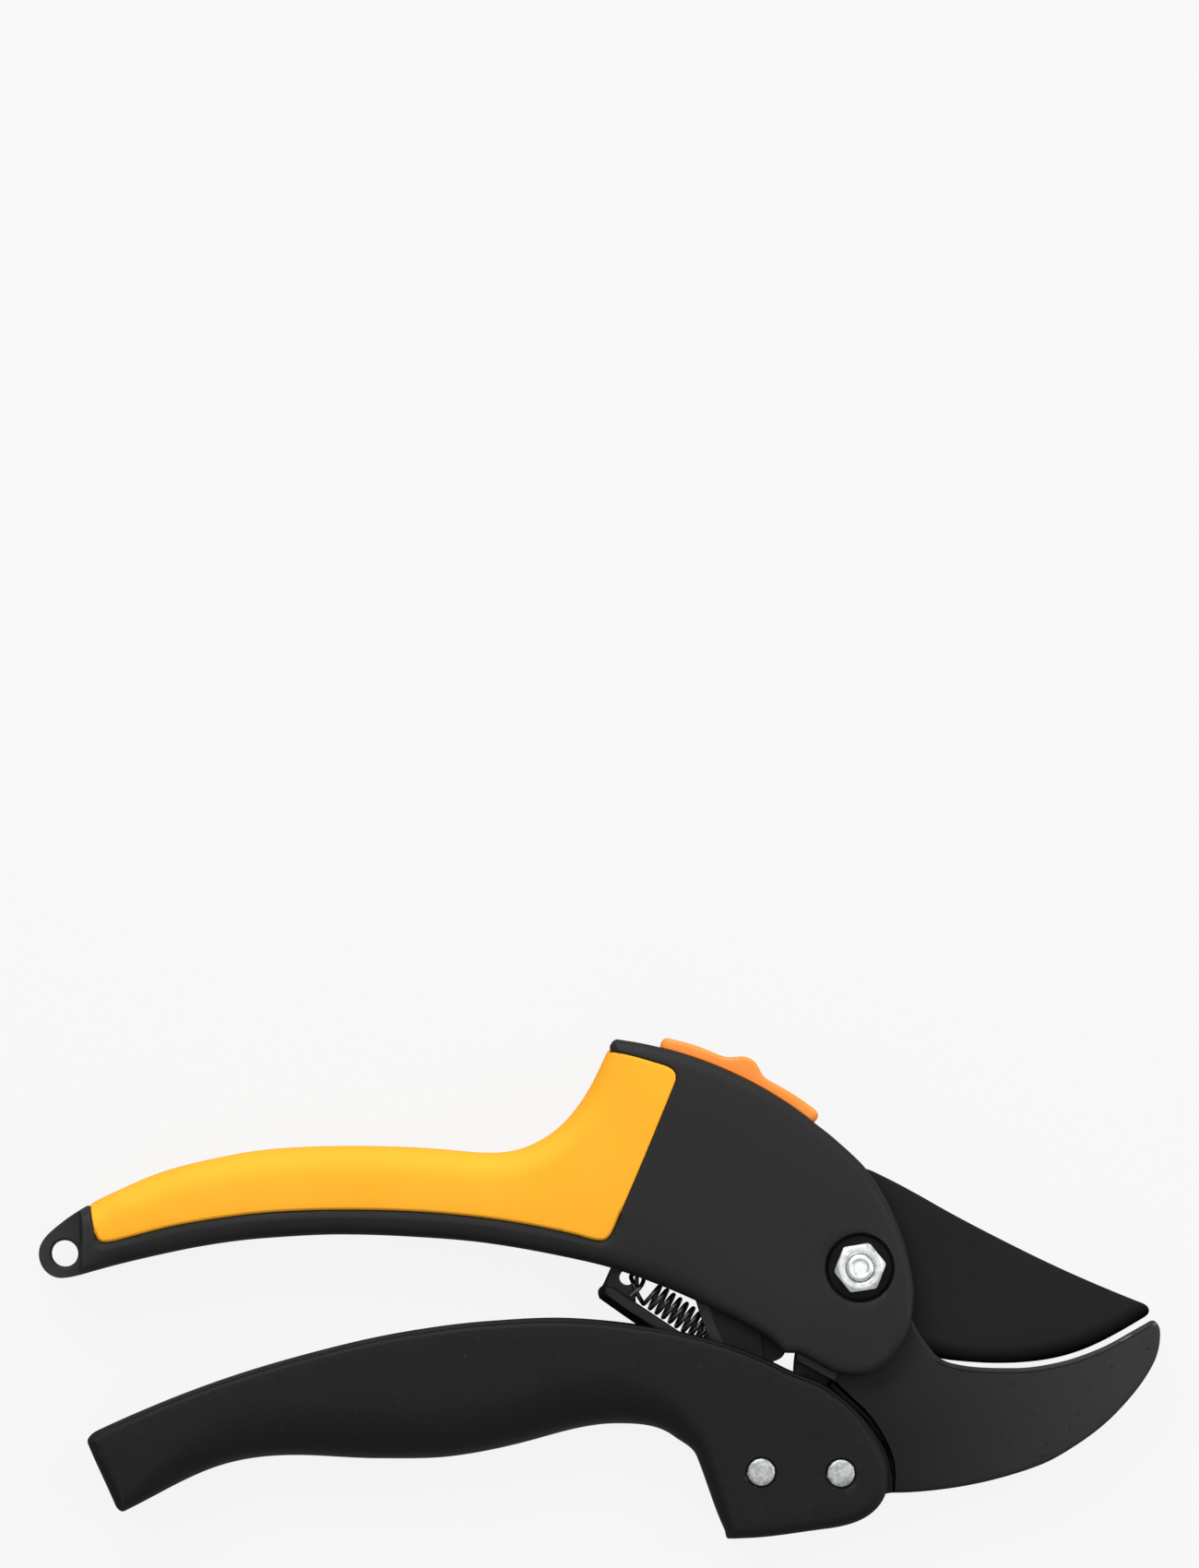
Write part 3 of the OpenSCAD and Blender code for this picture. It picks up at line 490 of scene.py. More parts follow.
def material(name, dark, light, rough=(0.5, 0.6), metallic=0.0, patch=60.0, grain=2600.0,
             bump=0.02, bump_mm=0.05, specular=0.5, stretch=(1, 1, 1), wear_and_highlight=None, speck=None,
             fade=None):
    """Mottled colour, varied roughness and fine bump. patch and grain are noise scales per metre.

    fade is (point in mm, distance where it starts, distance where it is full, colour) and, if the
    gloss fades too, the specular level it ends at. wear is (colour, pointiness where it starts,
    pointiness where it is full): rubbed edges, and on the zinc parts a painted highlight along the
    edges. speck is (colour, noise scale, strength)."""
    m = bpy.data.materials.new(name)
    m.use_nodes = True
    nt = m.node_tree
    bsdf = nt.nodes["Principled BSDF"]
    new, link = nt.nodes.new, nt.links.new
    coord = new("ShaderNodeTexCoord")
    mapping = new("ShaderNodeMapping")
    mapping.inputs["Scale"].default_value = stretch
    link(coord.outputs["Object"], mapping.inputs["Vector"])

    def noise(scale, detail, roughness=0.5):
        n = new("ShaderNodeTexNoise")
        n.inputs["Scale"].default_value = scale
        n.inputs["Detail"].default_value = detail
        n.inputs["Roughness"].default_value = roughness
        link(mapping.outputs["Vector"], n.inputs["Vector"])
        return n.outputs["Fac"]

    def ramp(source, lo, hi, a=0.35, b=0.65):
        r = new("ShaderNodeMapRange")
        r.inputs["From Min"].default_value, r.inputs["From Max"].default_value = a, b
        r.inputs["To Min"].default_value, r.inputs["To Max"].default_value = lo, hi
        link(source, r.inputs["Value"])
        return r.outputs["Result"]

    def mix(factor, a, b):
        """Colour b over a. a is a colour or a socket."""
        n = new("ShaderNodeMix")
        n.data_type = "RGBA"
        link(factor, n.inputs[0])
        if isinstance(a, tuple):
            n.inputs[6].default_value = a
        else:
            link(a, n.inputs[6])
        n.inputs[7].default_value = b
        return n.outputs[2]

    broad, fine = noise(patch, 3), noise(grain, 2, 0.6)
    blend = new("ShaderNodeMath")
    blend.operation = "MULTIPLY_ADD"
    blend.inputs[1].default_value = 0.35
    link(ramp(fine, 0, 1), blend.inputs[0])
    link(ramp(broad, 0, 0.65), blend.inputs[2])
    colour = mix(blend.outputs[0], dark, light)
    if fade:
        away = new("ShaderNodeVectorMath")
        away.operation = "DISTANCE"
        link(coord.outputs["Object"], away.inputs[0])
        away.inputs[1].default_value = tuple(c * MM for c in fade[0])
        far = ramp(away.outputs["Value"], 0, 1, fade[1] * MM, fade[2] * MM)
        colour = mix(far, colour, fade[3])
        if len(fade) > 4:
            link(ramp(away.outputs["Value"], specular, fade[4], fade[1] * MM, fade[2] * MM),
                 bsdf.inputs["Specular IOR Level"])
    if wear_and_highlight:  # rubbed edges, and on the zinc parts a painted highlight along the edges
        geo = new("ShaderNodeNewGeometry")
        edge = ramp(geo.outputs["Pointiness"], 0, 1, wear_and_highlight[1], wear_and_highlight[2])
        rub_and_highlight = new("ShaderNodeMath")
        rub_and_highlight.operation = "MULTIPLY"
        rub_and_highlight.use_clamp = True
        link(edge, rub_and_highlight.inputs[0])
        link(ramp(noise(420, 3), 0, 1, 0.42, 0.62), rub_and_highlight.inputs[1])
        colour = mix(rub_and_highlight.outputs[0], colour, wear_and_highlight[0])
    if speck:  # sparse dust or pits
        colour = mix(ramp(noise(speck[1], 1), 0, speck[2], 0.68, 0.76), colour, speck[0])
    link(colour, bsdf.inputs["Base Color"])
    link(ramp(broad, rough[0], rough[1], 0.3, 0.7), bsdf.inputs["Roughness"])
    bsdf.inputs["Metallic"].default_value = metallic
    bsdf.inputs["Specular IOR Level"].default_value = specular
    b = new("ShaderNodeBump")
    b.inputs["Strength"].default_value = bump
    b.inputs["Distance"].default_value = bump_mm * MM
    link(fine, b.inputs["Height"])
    link(b.outputs["Normal"], bsdf.inputs["Normal"])
    return m


M = {
    "handle": material(
        "moulded_black", grey(25), grey(31), (0.52, 0.64), bump=0.5, bump_mm=0.04, grain=2400,
        speck=(grey(48), 1500, 0.25), specular=0.24, wear_and_highlight=(grey(46), 0.53, 0.6),
        fade=((*HANG, 10), 14, 4, grey(44))),
    "lower": material(
        "moulded_black_lower", grey(15), grey(21), (0.5, 0.62), bump=0.55, bump_mm=0.045,
        grain=2100, speck=(grey(46), 1300, 0.3), specular=0.18, wear_and_highlight=(grey(44), 0.53, 0.6)),
    "grip": material(
        "soft_orange_grip", srgb(251, 170, 32), srgb(254, 178, 44), (0.62, 0.72), bump=0.3,
        bump_mm=0.03, grain=3200, patch=35, specular=0.2, wear_and_highlight=(srgb(238, 154, 28), 0.53, 0.62)),
    "lock": material(
        "orange_lock", srgb(254, 140, 46), srgb(255, 150, 58), (0.36, 0.46), bump=0.15,
        bump_mm=0.02, grain=2600, patch=90, specular=0.4),
    # The blade's colour and gloss fade to near black along the cutting edge: painted shade where
    # the face curves down to the edge.
    "blade": material(
        "blade_coating", srgb(14, 14, 15), srgb(20, 20, 21), (0.42, 0.54), bump=0.25,
        bump_mm=0.02, grain=3000, specular=0.17,
        fade=(BLADE_ARC[0], BLADE_ARC[1] - 3.4, BLADE_ARC[1] - 0.2, grey(2), 0.0)),
    # The jaw's colour turns lighter with distance from its rivet: painted shade by the lower
    # handle's head, painted light towards the tip.
    "jaw": material(
        "jaw_coating", srgb(11, 11, 12), srgb(17, 17, 18), (0.45, 0.58), bump=0.35,
        bump_mm=0.03, grain=2400, patch=110, specular=0.2,
        fade=((*JAW_RIVET, 12), 12, 56, srgb(44, 44, 45)),
        wear_and_highlight=(srgb(100, 100, 102), 0.56, 0.7), speck=(srgb(12, 12, 13), 900, 0.5)),
    "arm": material(
        "blackened_arm", srgb(12, 12, 13), srgb(21, 21, 22), (0.36, 0.5), metallic=0.1, bump=0.4,
        bump_mm=0.04, patch=160, grain=1800, specular=0.3, wear_and_highlight=(srgb(110, 110, 112), 0.54, 0.66)),
    # A darker, duller copy of the arm's finish for the rail's sloped flange: painted shade.
    "arm_painted_shade": material(
        "blackened_flange_painted_shade", grey(8), grey(14), (0.5, 0.62), bump=0.4, bump_mm=0.04, patch=160,
        grain=1800, specular=0.15),
    "steel": material(
        "blackened_stamped_steel", grey(13), grey(18), (0.46, 0.58), bump=0.3, bump_mm=0.02,
        patch=120, grain=1500, specular=0.16),
    # A lighter copy of the stamped steel for the lug's edge facet and the small lug by the jaw:
    # painted highlight.
    "ground": material(
        "ground_steel_edge", grey(32), grey(40), (0.4, 0.5), metallic=0.1, bump=0.3,
        bump_mm=0.02, patch=260, grain=1500, stretch=(0.5, 2.0, 1), specular=0.3),
    # The zinc finishes turn lighter along their edges: a painted highlight.
    "zinc": material(
        "zinc_plating", srgb(222, 226, 226), srgb(250, 252, 250), (0.26, 0.38), metallic=0.8,
        bump=0.2, bump_mm=0.02, patch=600, grain=1400, wear_and_highlight=(srgb(255, 255, 254), 0.53, 0.6)),
    "zinc_nut": material(
        "zinc_plating_nut", srgb(186, 191, 190), srgb(238, 241, 240), (0.24, 0.4), metallic=0.8,
        bump=0.3, bump_mm=0.03, patch=900, grain=1600, wear_and_highlight=(srgb(252, 252, 251), 0.53, 0.6)),
    "zinc_dull": material(
        "zinc_plating_rivet", srgb(150, 153, 153), srgb(202, 204, 204), (0.34, 0.48),
        metallic=0.75, bump=0.4, bump_mm=0.03, patch=900, grain=1800,
        wear_and_highlight=(srgb(214, 216, 215), 0.53, 0.6)),
    "dark_washer": material(
        "blackened_washer", grey(8), grey(13), (0.4, 0.55), bump=0.3, bump_mm=0.03, patch=200,
        grain=1500, specular=0.13),
    "bronze": material(
        "sintered_bronze", srgb(150, 116, 66), srgb(182, 144, 88), (0.35, 0.5), metallic=0.9,
        bump=0.4, bump_mm=0.03, patch=300, grain=2600),
    "washer": material(
        "slippery_washer", srgb(206, 204, 196), srgb(224, 222, 214), (0.4, 0.5), bump=0.2,
        bump_mm=0.02, patch=200, grain=2000),
    "wire": material(
        "spring_wire", srgb(58, 58, 60), srgb(92, 92, 94), (0.3, 0.42), metallic=0.9, bump=0.2,
        bump_mm=0.02, patch=500, grain=2200),
}


def give(obj, *keys):
    """Gives an object these materials, in this order."""
    obj.data.materials.clear()
    for key in keys:
        obj.data.materials.append(M[key])
    return obj


def paint(obj, faces, index):
    """Gives the picked faces another of the object's materials."""
    for i in np.flatnonzero(faces).tolist():
        obj.data.polygons[i].material_index = index


def cut(obj, cutter, key, op="DIFFERENCE", angle=SHARP):
    """Boolean whose new faces have the material named."""
    return boolean(obj, give(cutter, key), op, angle)


def stand(obj, body, slot, *nodes):
    """Names the body a piece rides on, hangs the piece under it and hides the CAD nodes it stands
    for. slot is not used.
    """
    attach(obj, body)
    if nodes:
        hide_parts(*nodes)
    return obj


ROOT = "upper_handle_and_blade"

# ---------- upper handle and grip
outer = loop(UPPER, 0.9)
reach = outer - LOCK_AT
phi = np.degrees(np.arctan2(reach[:, 1], reach[:, 0]))
radius = np.linalg.norm(reach, axis=1)
# Between these bearings the handle's back follows the lock's arc, with eased ends.
on_track = np.clip((phi - 49.5) / 1.5, 0, 1) * np.clip(81.8 - phi, 0, 1) * (radius > 70)
outer = LOCK_AT + reach * (1 + (TRACK_R / radius - 1) * on_track)[:, None]
x, y = outer[:, 0], outer[:, 1]
# The roll is wide on the hand side, medium along the palm, and narrow round the hanging tab
# (x < -143) and the housing's nose (x > -20).
palm = (y < 7) & (x < -30) & (x > -142)
hand_side = (y > 14) & (x < -46) | (x < -138) & (y > 6)
top_corner = (31, 41)  # the hand side's roll gets narrow between these heights
w = np.where(hand_side, np.interp(y, top_corner, (5.2, 2.5)), np.where(palm, 3.9, 2.3))
w = np.where(x < -143, 1.6, w)
w = np.where(x > -20, 1.7, w)
h_edge = np.where(hand_side, np.interp(y, top_corner, (6.0, 2.7)), np.where(palm, 3.6, 2.6))
h_edge = smooth_ring(np.where(x > -20, 1.9, h_edge), 12)
seam = loop(GRIP, 0.9)
body = Plate(outer, smooth_ring(w, 10), seam=seam, grid=2.6)
_, seg, frac = nearest(body.xy, outer)
to_seam = nearest(body.xy, seam)[0]
GROOVE = 0.42  # half width and depth of the seam's groove
groove = np.where(to_seam < GROOVE, GROOVE * quarter(1 - to_seam / GROOVE), 0)
# Along the palm the surface dips at the seam, steeply on the grip's side, gently on the housing's.
palm_seam = (body.xy[:, 0] < -44) & (body.xy[:, 0] > -141) & (body.xy[:, 1] < 11.2)
ease = np.where(inside(body.xy, seam), 0.5, 1.3)
dip = 0.4 * np.clip(1 - to_seam / ease, 0, 1) * palm_seam
crown = 0.35 * np.clip((body.d - body.w) / 6, 0, 1) ** 0.8
rise = THICK - 0.35 + crown - body.roll(along_loop(h_edge, seg, frac))
edge_pull = np.clip(1 - body.d / np.maximum(body.w, 0.1), 0, 1)
xy = body.xy + body.n * (groove * edge_pull)[:, None]
top = rise - groove - dip
grip_tri = inside(body.mid, seam)
housing = body.solid("upper_handle_shell", top, THICK - top, ~grip_tri, xy)
grip = body.solid("soft_grip_skin", top, THICK - top, grip_tri, xy)
give(housing, "handle", "dark_washer")
give(grip, "grip", "handle")

for target in (housing, grip):
    cut(target, prism("slot_cutter", SLOT, 5.0, 15.5), "handle")
tongue_r = float(np.hypot(*LOCK_AT))
bearing0 = math.degrees(math.atan2(-LOCK_AT[1], -LOCK_AT[0]))
bar = arc_poly(tongue_r - 2.6, tongue_r + 2.6, bearing0 + 4, 70.6)
cut(housing, prism("lock_bar_slot", bar, *LOCK_SLOT_Z), "handle")
neck = arc_poly(tongue_r, 78.6, 52.5, 70.6)
cut(housing, prism("lock_neck_slot", neck, *LOCK_SLOT_Z), "handle")
# The hanging tab's two faces, with a sloped step
for far, near, front in ((-2.0, 5.5, False), (22.0, 14.5, True)):
    v = [(-160, -12, near), (-143.9, -12, near), (-142.9, -12, far), (-160, -12, far)]
    v += [(p[0], 20, p[2]) for p in v]
    f = [(0, 1, 2, 3), (7, 6, 5, 4), (0, 4, 5, 1), (1, 5, 6, 2), (2, 6, 7, 3), (3, 7, 4, 0)]
    f = f if front else [q[::-1] for q in f]
    cut(housing, new_object("tab_cutter", np.array(v, float) * MM, f), "handle")
lower_lip = [(3.3, 5.0), (2.95, 5.5), (2.62, 5.75), (2.47, 6.2), (2.45, 6.8)]
upper_lip = [(r, THICK - z) for r, z in reversed(lower_lip)]
cut(housing, lathe("hang_cutter", HANG, [(0, 3), (3.3, 3)] + lower_lip + upper_lip + [
    (3.3, 17), (0, 17)]), "handle")
cut(housing, lathe("nut_recess", PIVOT, [
    (0, 17.4), (6.15, 17.4), (6.3, 17.6), (6.3, 19.3), (6.36, 19.6), (6.55, 19.88),
    (6.95, 20.05), (7.0, 22), (0, 22)], 96), "handle")
cut(housing, lathe("bolt_bore", PIVOT, [
    (0, -1), (BOLT_BORE, -1), (BOLT_BORE, 18), (0, 18)]), "handle")
pocket = turned(circle(PIVOT, 8.76 / math.sqrt(3), 6), HEX_SPIN)
cut(housing, prism("bolt_head_pocket", pocket, -1, 3.3), "handle")
stand(housing, ROOT, "handle_plastic", "upper_handle")
stand(grip, ROOT, "grip_rubber", "soft_grip")

# ---------- lower handle
outer = loop(LOWER, 0.9)
x, y = outer[:, 0], outer[:, 1]
at_top = np.arange(len(outer)) < np.argmin(np.hypot(x - 3.5, y + 32))
under = ~at_top & (x < -24) & (x > -137)
KNOTS_X = (-137, -129, -112, -45, -36, -31, -25)
w_under = np.interp(x, KNOTS_X, (2, 4.5, 9.5, 9.5, 6, 3.4, 2.4))
h_under = np.interp(x, KNOTS_X, (2.2, 4.5, 8.2, 8.2, 6, 4.2, 2.6))
w = smooth_ring(np.where(at_top, 1.5, np.where(under, w_under, 2.0)), 16)
h = smooth_ring(np.where(at_top, 1.8, np.where(under, h_under, 2.2)), 16)
low = Plate(outer, w, grid=2.6)
_, seg, frac = nearest(low.xy, outer)
edge_line = at_top[seg] & (low.xy[:, 0] > -138)
# A fine groove follows the top edge.
fine_line = 0.3 * np.exp(-((low.d - 0.44) / 0.12) ** 2) * edge_line
top = LOWER_TOP - low.roll(along_loop(h, seg, frac)) - fine_line
lower = give(low.solid("lower_handle_shell", top, THICK - top), "lower")
WALL = 3.0
wall = outer + normals_in(outer) * WALL
clear = nearest(wall, outer)[0] > WALL - 0.05
after_top = (np.arange(len(outer)) > np.argmin(np.hypot(x + 8, y + 21))) & (x > -108)
wall = wall[clear & after_top]
wall = wall[wall[:, 0] > -104]
zone = np.vstack([[[-104, 23], [-8, 23], [-8, wall[0][1]]], wall, [[-104, wall[-1][1]]]])
cut(lower, prism("channel_cutter", zone, 4.0, 16.0), "lower")
for at, z0, z1 in ((JAW_RIVET, 3.0, 9.6), (JAW_RIVET, 13.8, 17.0),
                   (LINK_RIVET, 3.0, 6.8), (LINK_RIVET, 13.6, 17.0)):
    boss = lathe("boss", at, [(0, z0), (5.4, z0), (5.4, z1), (0, z1)])
    cut(lower, boss, "lower", "UNION")
cut(lower, prism("jaw_slot", [[-12, -60], [28, -60], [28, 0], [-12, 0]], *JAW_SLOT_Z), "lower")
for at in (JAW_RIVET, LINK_RIVET):
    cut(lower, lathe("rivet_bore", at, [
        (0, -1), (3.05, -1), (3.05, 0.85), (2.82, 1.15), (2.8, 1.6), (2.55, 1.6), (2.55, 18.4),
        (2.8, 18.4), (2.82, 18.85), (3.05, 19.15), (3.05, 21), (0, 21)]), "lower")
stand(lower, "lower_handle", "lower_handle_plastic", "lower_handle")

# ---------- cutting blade
spine, edge, hub = line(BLADE_SPINE, 1.0), line(BLADE_EDGE, 0.8), line(BLADE_HUB, 1.2)
outer = np.vstack([spine[:-1], edge[:-1], hub[:-1], [[-34, 4]]])
k = len(spine) - 1
bevel = edge + normals_in(outer)[k:k + len(edge)] * BEVEL
bl = Plate(outer, 0.3, steps=[bevel], grid=2.2,
           holes=[circle(PIVOT, BOLT_BORE, 40)] + [circle(at, DOWEL_BORE, 24) for at in DOWELS])
to_edge = nearest(bl.xy, edge, False)[0]
z0, z1 = BLADE_Z
top = z1 - bl.roll(0.22) * (to_edge > 0.4)
grind = np.clip(1 - to_edge / BEVEL, 0, 1) ** 0.92
bottom = np.where(to_edge > BEVEL, z0 + bl.roll(0.22), z0 + (z1 - 0.3 - z0) * grind)
bottom = np.minimum(bottom, z1 - 0.25)
blade = give(bl.solid("cutting_blade_ground", top, bottom, angle=25), "blade")
stand(blade, ROOT, "blade_coating", "cutting_blade")

# ---------- lower jaw
outer = loop(JAW, 0.8)
relief = line(RELIEF, 0.8)
x, y = outer[:, 0], outer[:, 1]
inner = np.arange(len(outer)) < np.argmin(np.hypot(x - 53.5, y + 10))
w = corner_limit(outer, smooth_ring(np.where(inner, 0.9, 0.7), 4))
band = np.interp(relief[:, 1], *RELIEF_BAND)
groove_line = relief - unit_normals(np.gradient(relief, axis=0)) * band[:, None]
cut_line = (outer + 0.85 * normals_in(outer))[inner & (x > 15) & (x < 53)]
jw = Plate(outer, w, holes=[circle(PIVOT, 4.56, 56), circle(JAW_RIVET, RIVET_BORE, 40)],
           steps=[relief, groove_line, cut_line], grid=2.4)
z0, z1 = JAW_Z
zone = np.vstack([[[-14, -21]], relief, [[6.2, -60], [-30, -60], [-30, -21]]])
side = np.where(inside(jw.xy, zone), 1.0, -1.0) * nearest(jw.xy, relief, False)[0]
band_here = np.interp(jw.xy[:, 1], *RELIEF_BAND)
# The relief round the lower handle's head, the deep groove along its edge, the cutting line
step_down = 0.9 * np.clip((side + 0.05) / 0.3, 0, 1)
step_down += 1.7 * np.clip((side + 0.05) / 0.25, 0, 1) * np.clip((band_here - side) / 0.25, 0, 1)
step_down += 0.15 * np.clip(1 - nearest(jw.xy, cut_line, False)[0] / 0.12, 0, 1)
top = z1 - jw.roll(0.5) - step_down
bottom = z0 + jw.roll(0.3, np.full(len(jw.xy), 0.35))
jaw = give(jw.solid("lower_jaw_forged", top, bottom, angle=24), "jaw")
notch = turned([[7, -3.1], [10.5, -3.1], [10.5, 3.1], [7, 3.1]], 135)
cut(jaw, prism("hub_notch", notch, z0 - 1, z1 + 1), "jaw")
stand(jaw, "jaw", "jaw_coating", "lower_jaw")


# ---------- fasteners
def hex_radius(t, flats):
    """Distance from the axis to a hexagon's side, its corners cut off slightly."""
    a = (t + math.pi / 6) % (math.pi / 3) - math.pi / 6
    return min(flats / 2 / math.cos(a), flats / math.sqrt(3) - 0.12)


def hex_nut(name, at, flats, z0, z1, bore, spin, cone=0.6, flip=False):
    """Hexagonal nut or head with a turned chamfer. bore 0 closes its top."""
    count = 144
    turn = np.arange(count) * 2 * math.pi / count
    hexr = np.array([hex_radius(t - math.radians(spin) + math.pi / 6, flats) for t in turn])
    face_r = flats / 2 - 0.28

    def flat(r, z):
        return np.full(count, r), np.full(count, z)

    def up(r):
        return z1 - np.maximum(r - face_r, 0) * cone - np.where(r > face_r - 0.15, 0.02, 0)

    if bore:
        rings = [flat(bore, z0 + 0.05), flat(bore, z1 - 0.38), flat(bore + 0.12, z1 - 0.2),
                 flat(bore + 0.34, z1 - 0.04), flat(bore + 0.5, z1)]
    else:
        rings = [flat(0.4, z1)]
    for s in (0.5, 0.8, 1.0):
        r = np.full(count, bore + 0.5 + (face_r - bore - 0.5) * s)
        rings.append((r, up(r)))
    for s in (0.3, 0.65, 0.93):
        r = face_r + (hexr - face_r) * s
        rings.append((r, up(r)))
    rings += [(hexr, up(hexr) - 0.1), (hexr, np.full(count, z0 + 0.15)),
              (hexr - 0.15, np.full(count, z0)), flat(bore + 0.3 if bore else 0.4, z0)]
    verts = np.vstack([np.column_stack([at[0] + r * np.cos(turn), at[1] + r * np.sin(turn), z])
                       for r, z in rings])
    if flip:
        verts[:, 2] = z0 + z1 - verts[:, 2]
    m, faces = len(rings), []
    for k in range(m if bore else m - 1):
        a, b = k * count, (k + 1) % m * count
        faces += [(a + i, a + (i + 1) % count, b + (i + 1) % count, b + i) for i in range(count)]
    if not bore:
        faces += [tuple(range(count))[::-1], tuple((m - 1) * count + i for i in range(count))]
    faces = faces if flip else [f[::-1] for f in faces]
    return face_outward(new_object(name, verts * MM, faces, 28), 28)


nut = give(hex_nut("pivot_nut_turned", PIVOT, HEX_FLATS, *NUT_Z, 2.55, HEX_SPIN), "zinc_nut")
stand(nut, ROOT, "zinc_steel", "pivot_nut")

profile = [(0, 0.3), (2.5, 0.3)]
z = 17.6
while z < 21.6:  # ridges of the thread
    profile += [(2.5, z), (2.36, z + 0.2), (2.5, z + 0.4)]
    z += 0.5
profile += [(2.5, 21.9), (2.42, 22.12), (2.2, 22.32), (1.95, 22.4), (1.68, 22.39), (1.5, 22.3),
            (1.38, 22.14), (1.25, 22.1), (0.7, 22.12), (0.3, 22.13), (0, 22.13)]
bolt = lathe("pivot_bolt_turned", PIVOT, profile, 72)
boolean(bolt, hex_nut("bolt_head", PIVOT, HEX_FLATS, *HEAD_Z, 0, HEX_SPIN, flip=True), "UNION")
give(bolt, "zinc")
stand(bolt, ROOT, "zinc_steel", "pivot_bolt")

washer = tube_lathe("nut_washer_pressed", PIVOT, [
    (2.6, 17.4), (5.85, 17.4), (5.98, 17.5), (6.0, 17.7), (5.98, 18.05), (5.85, 18.17),
    (5.6, 18.2), (2.8, 18.2), (2.6, 18.1)], 96)
give(washer, "dark_washer")
stand(washer, ROOT, "black_steel", "nut_washer")

for name, at in (("jaw_rivet", JAW_RIVET), ("link_rivet", LINK_RIVET)):
    upper_half = [(2.48, 18.8), (2.5, 19.0), (2.49, 19.08), (2.42, 19.17), (2.25, 19.24),
                  (1.9, 19.29), (1.3, 19.33), (0.7, 19.35), (0, 19.355)]
    profile = [(r, THICK - z) for r, z in reversed(upper_half)] + upper_half
    rivet = give(lathe(name + "_headed", at, profile, 72), "zinc_dull")
    stand(rivet, "lower_handle", "zinc_steel", name)

# ---------- front rack plate
lug_edge = np.vstack([line([k[:3] for k in RACK[8:12]], 0.8), [[-25.93, -17.96]]])
FACET_W = 2.0
facet = line([[-28.7, -4.7, -75], [-27.05, -9.75, -71], [-25.42, -13.5, -70],
              [-25, -14.66, -70]], 0.8)
step_line = line([[-18.5, -11.5, -78], [-17.7, -16.6, -80]], 0.8)
rp = Plate(loop(RACK, 1.0), 0.22, steps=[facet, step_line], grid=3.0,
           holes=[circle(PIVOT, BOLT_BORE, 40)] + [circle(at, DOWEL_BORE, 24) for at in DOWELS])
x, y = rp.xy[:, 0], rp.xy[:, 1]
z0, z1 = RACK_Z
tilt = np.clip(1 - nearest(rp.xy, lug_edge, False)[0] / FACET_W, 0, 1) * (x < -25)
beyond = (y < -11) & (x < -12.6)
beyond &= x > np.interp(y, step_line[::-1, 1], step_line[::-1, 0]) + 0.06
top = np.maximum(z1 - rp.roll(0.2) - 0.3 * tilt - 0.7 * beyond, z0 + 0.4)
front = rp.solid("front_rack_plate_pressed", top, z0 + rp.roll(0.15), angle=24)
give(front, "steel", "ground")
x, y = rp.mid[:, 0], rp.mid[:, 1]
# The facet along the lug's edge and the small lug by the jaw get the lighter steel: painted
# highlight.
lit = (nearest(rp.mid, lug_edge, False)[0] < FACET_W) & (x < -25) | (x > -12) & (y < -12)
paint(front, lit, 1)
for at in NOTCHES:
    notch = lathe("notch", at, [(0, 13), (2.3, 13), (2.3, 17), (0, 17)], 48)
    cut(front, notch, "steel", angle=24)
stand(front, ROOT, "plain_steel", "front_rack_plate")


# ---------- step arm
def slab(name, outline, z0, z1, edge=0.3):
    """Flat plate with rolled edges, both faces alike."""
    outline = outline if signed_area(outline) > 0 else outline[::-1]
    p = Plate(outline, corner_limit(outline, np.full(len(outline), edge)), grid=4.0)
    lost = p.roll(edge)
    return give(p.solid(name, z1 - lost, z0 + lost), "arm")


def post(at, r, z0, z1, edge=0.25):
    """Round boss with rolled ends."""
    near = edge * 0.3
    return lathe("post", at, [
        (0, z0), (r - edge, z0), (r - near, z0 + near), (r, z0 + edge),
        (r, z1 - edge), (r - near, z1 - near), (r - edge, z1), (0, z1)], 48)


z0, z1 = ARM_Z
arm = slab("step_arm_pressed", loop(ARM, 1.0), z0, z0 + 2.0)
rail_edge = line(RAIL[3:7], 0.8)
crease = line([[-47.1, -4.7, -36], [-39.3, -10.3, -34], [-32.3, -15.2, -35]], 0.8)
SLOPE_W = 1.35
rail = Plate(loop(RAIL, 0.8)[::-1], 0.35, steps=[crease], grid=2.0)
slope = np.clip((SLOPE_W - nearest(rail.xy, rail_edge, False)[0]) / SLOPE_W, 0, 1)
lost = rail.roll(0.3)
flange = rail.solid("rail", z1 - lost - 1.7 * slope, z0 + 0.02 + lost, angle=24)
give(flange, "arm", "arm_painted_shade")
# The rail's sloped outer flange gets the darker copy of the arm's finish: painted shade.
paint(flange, nearest(rail.mid, rail_edge, False)[0] < SLOPE_W - 0.05, 1)
boolean(arm, flange, "UNION")
for at, r in ((LINK_RIVET, 5.0), (STEP_PIN, 3.3)):
    cut(arm, post(at, r, z0 + 0.01, z1), "arm", "UNION")
boolean(arm, slab("lug", np.array(EYE_LUG), SPRING_Z - 1, SPRING_Z + 1, 0.25), "UNION")
for at, r in ((LINK_RIVET, RIVET_BORE), (STEP_PIN, 2.05), (EYE, 1.4)):
    cut(arm, lathe("bore", at, [(0, 5), (r, 5), (r, 16), (0, 16)], 48), "arm")
stand(arm, "step_arm", "arm_steel", "step_arm")


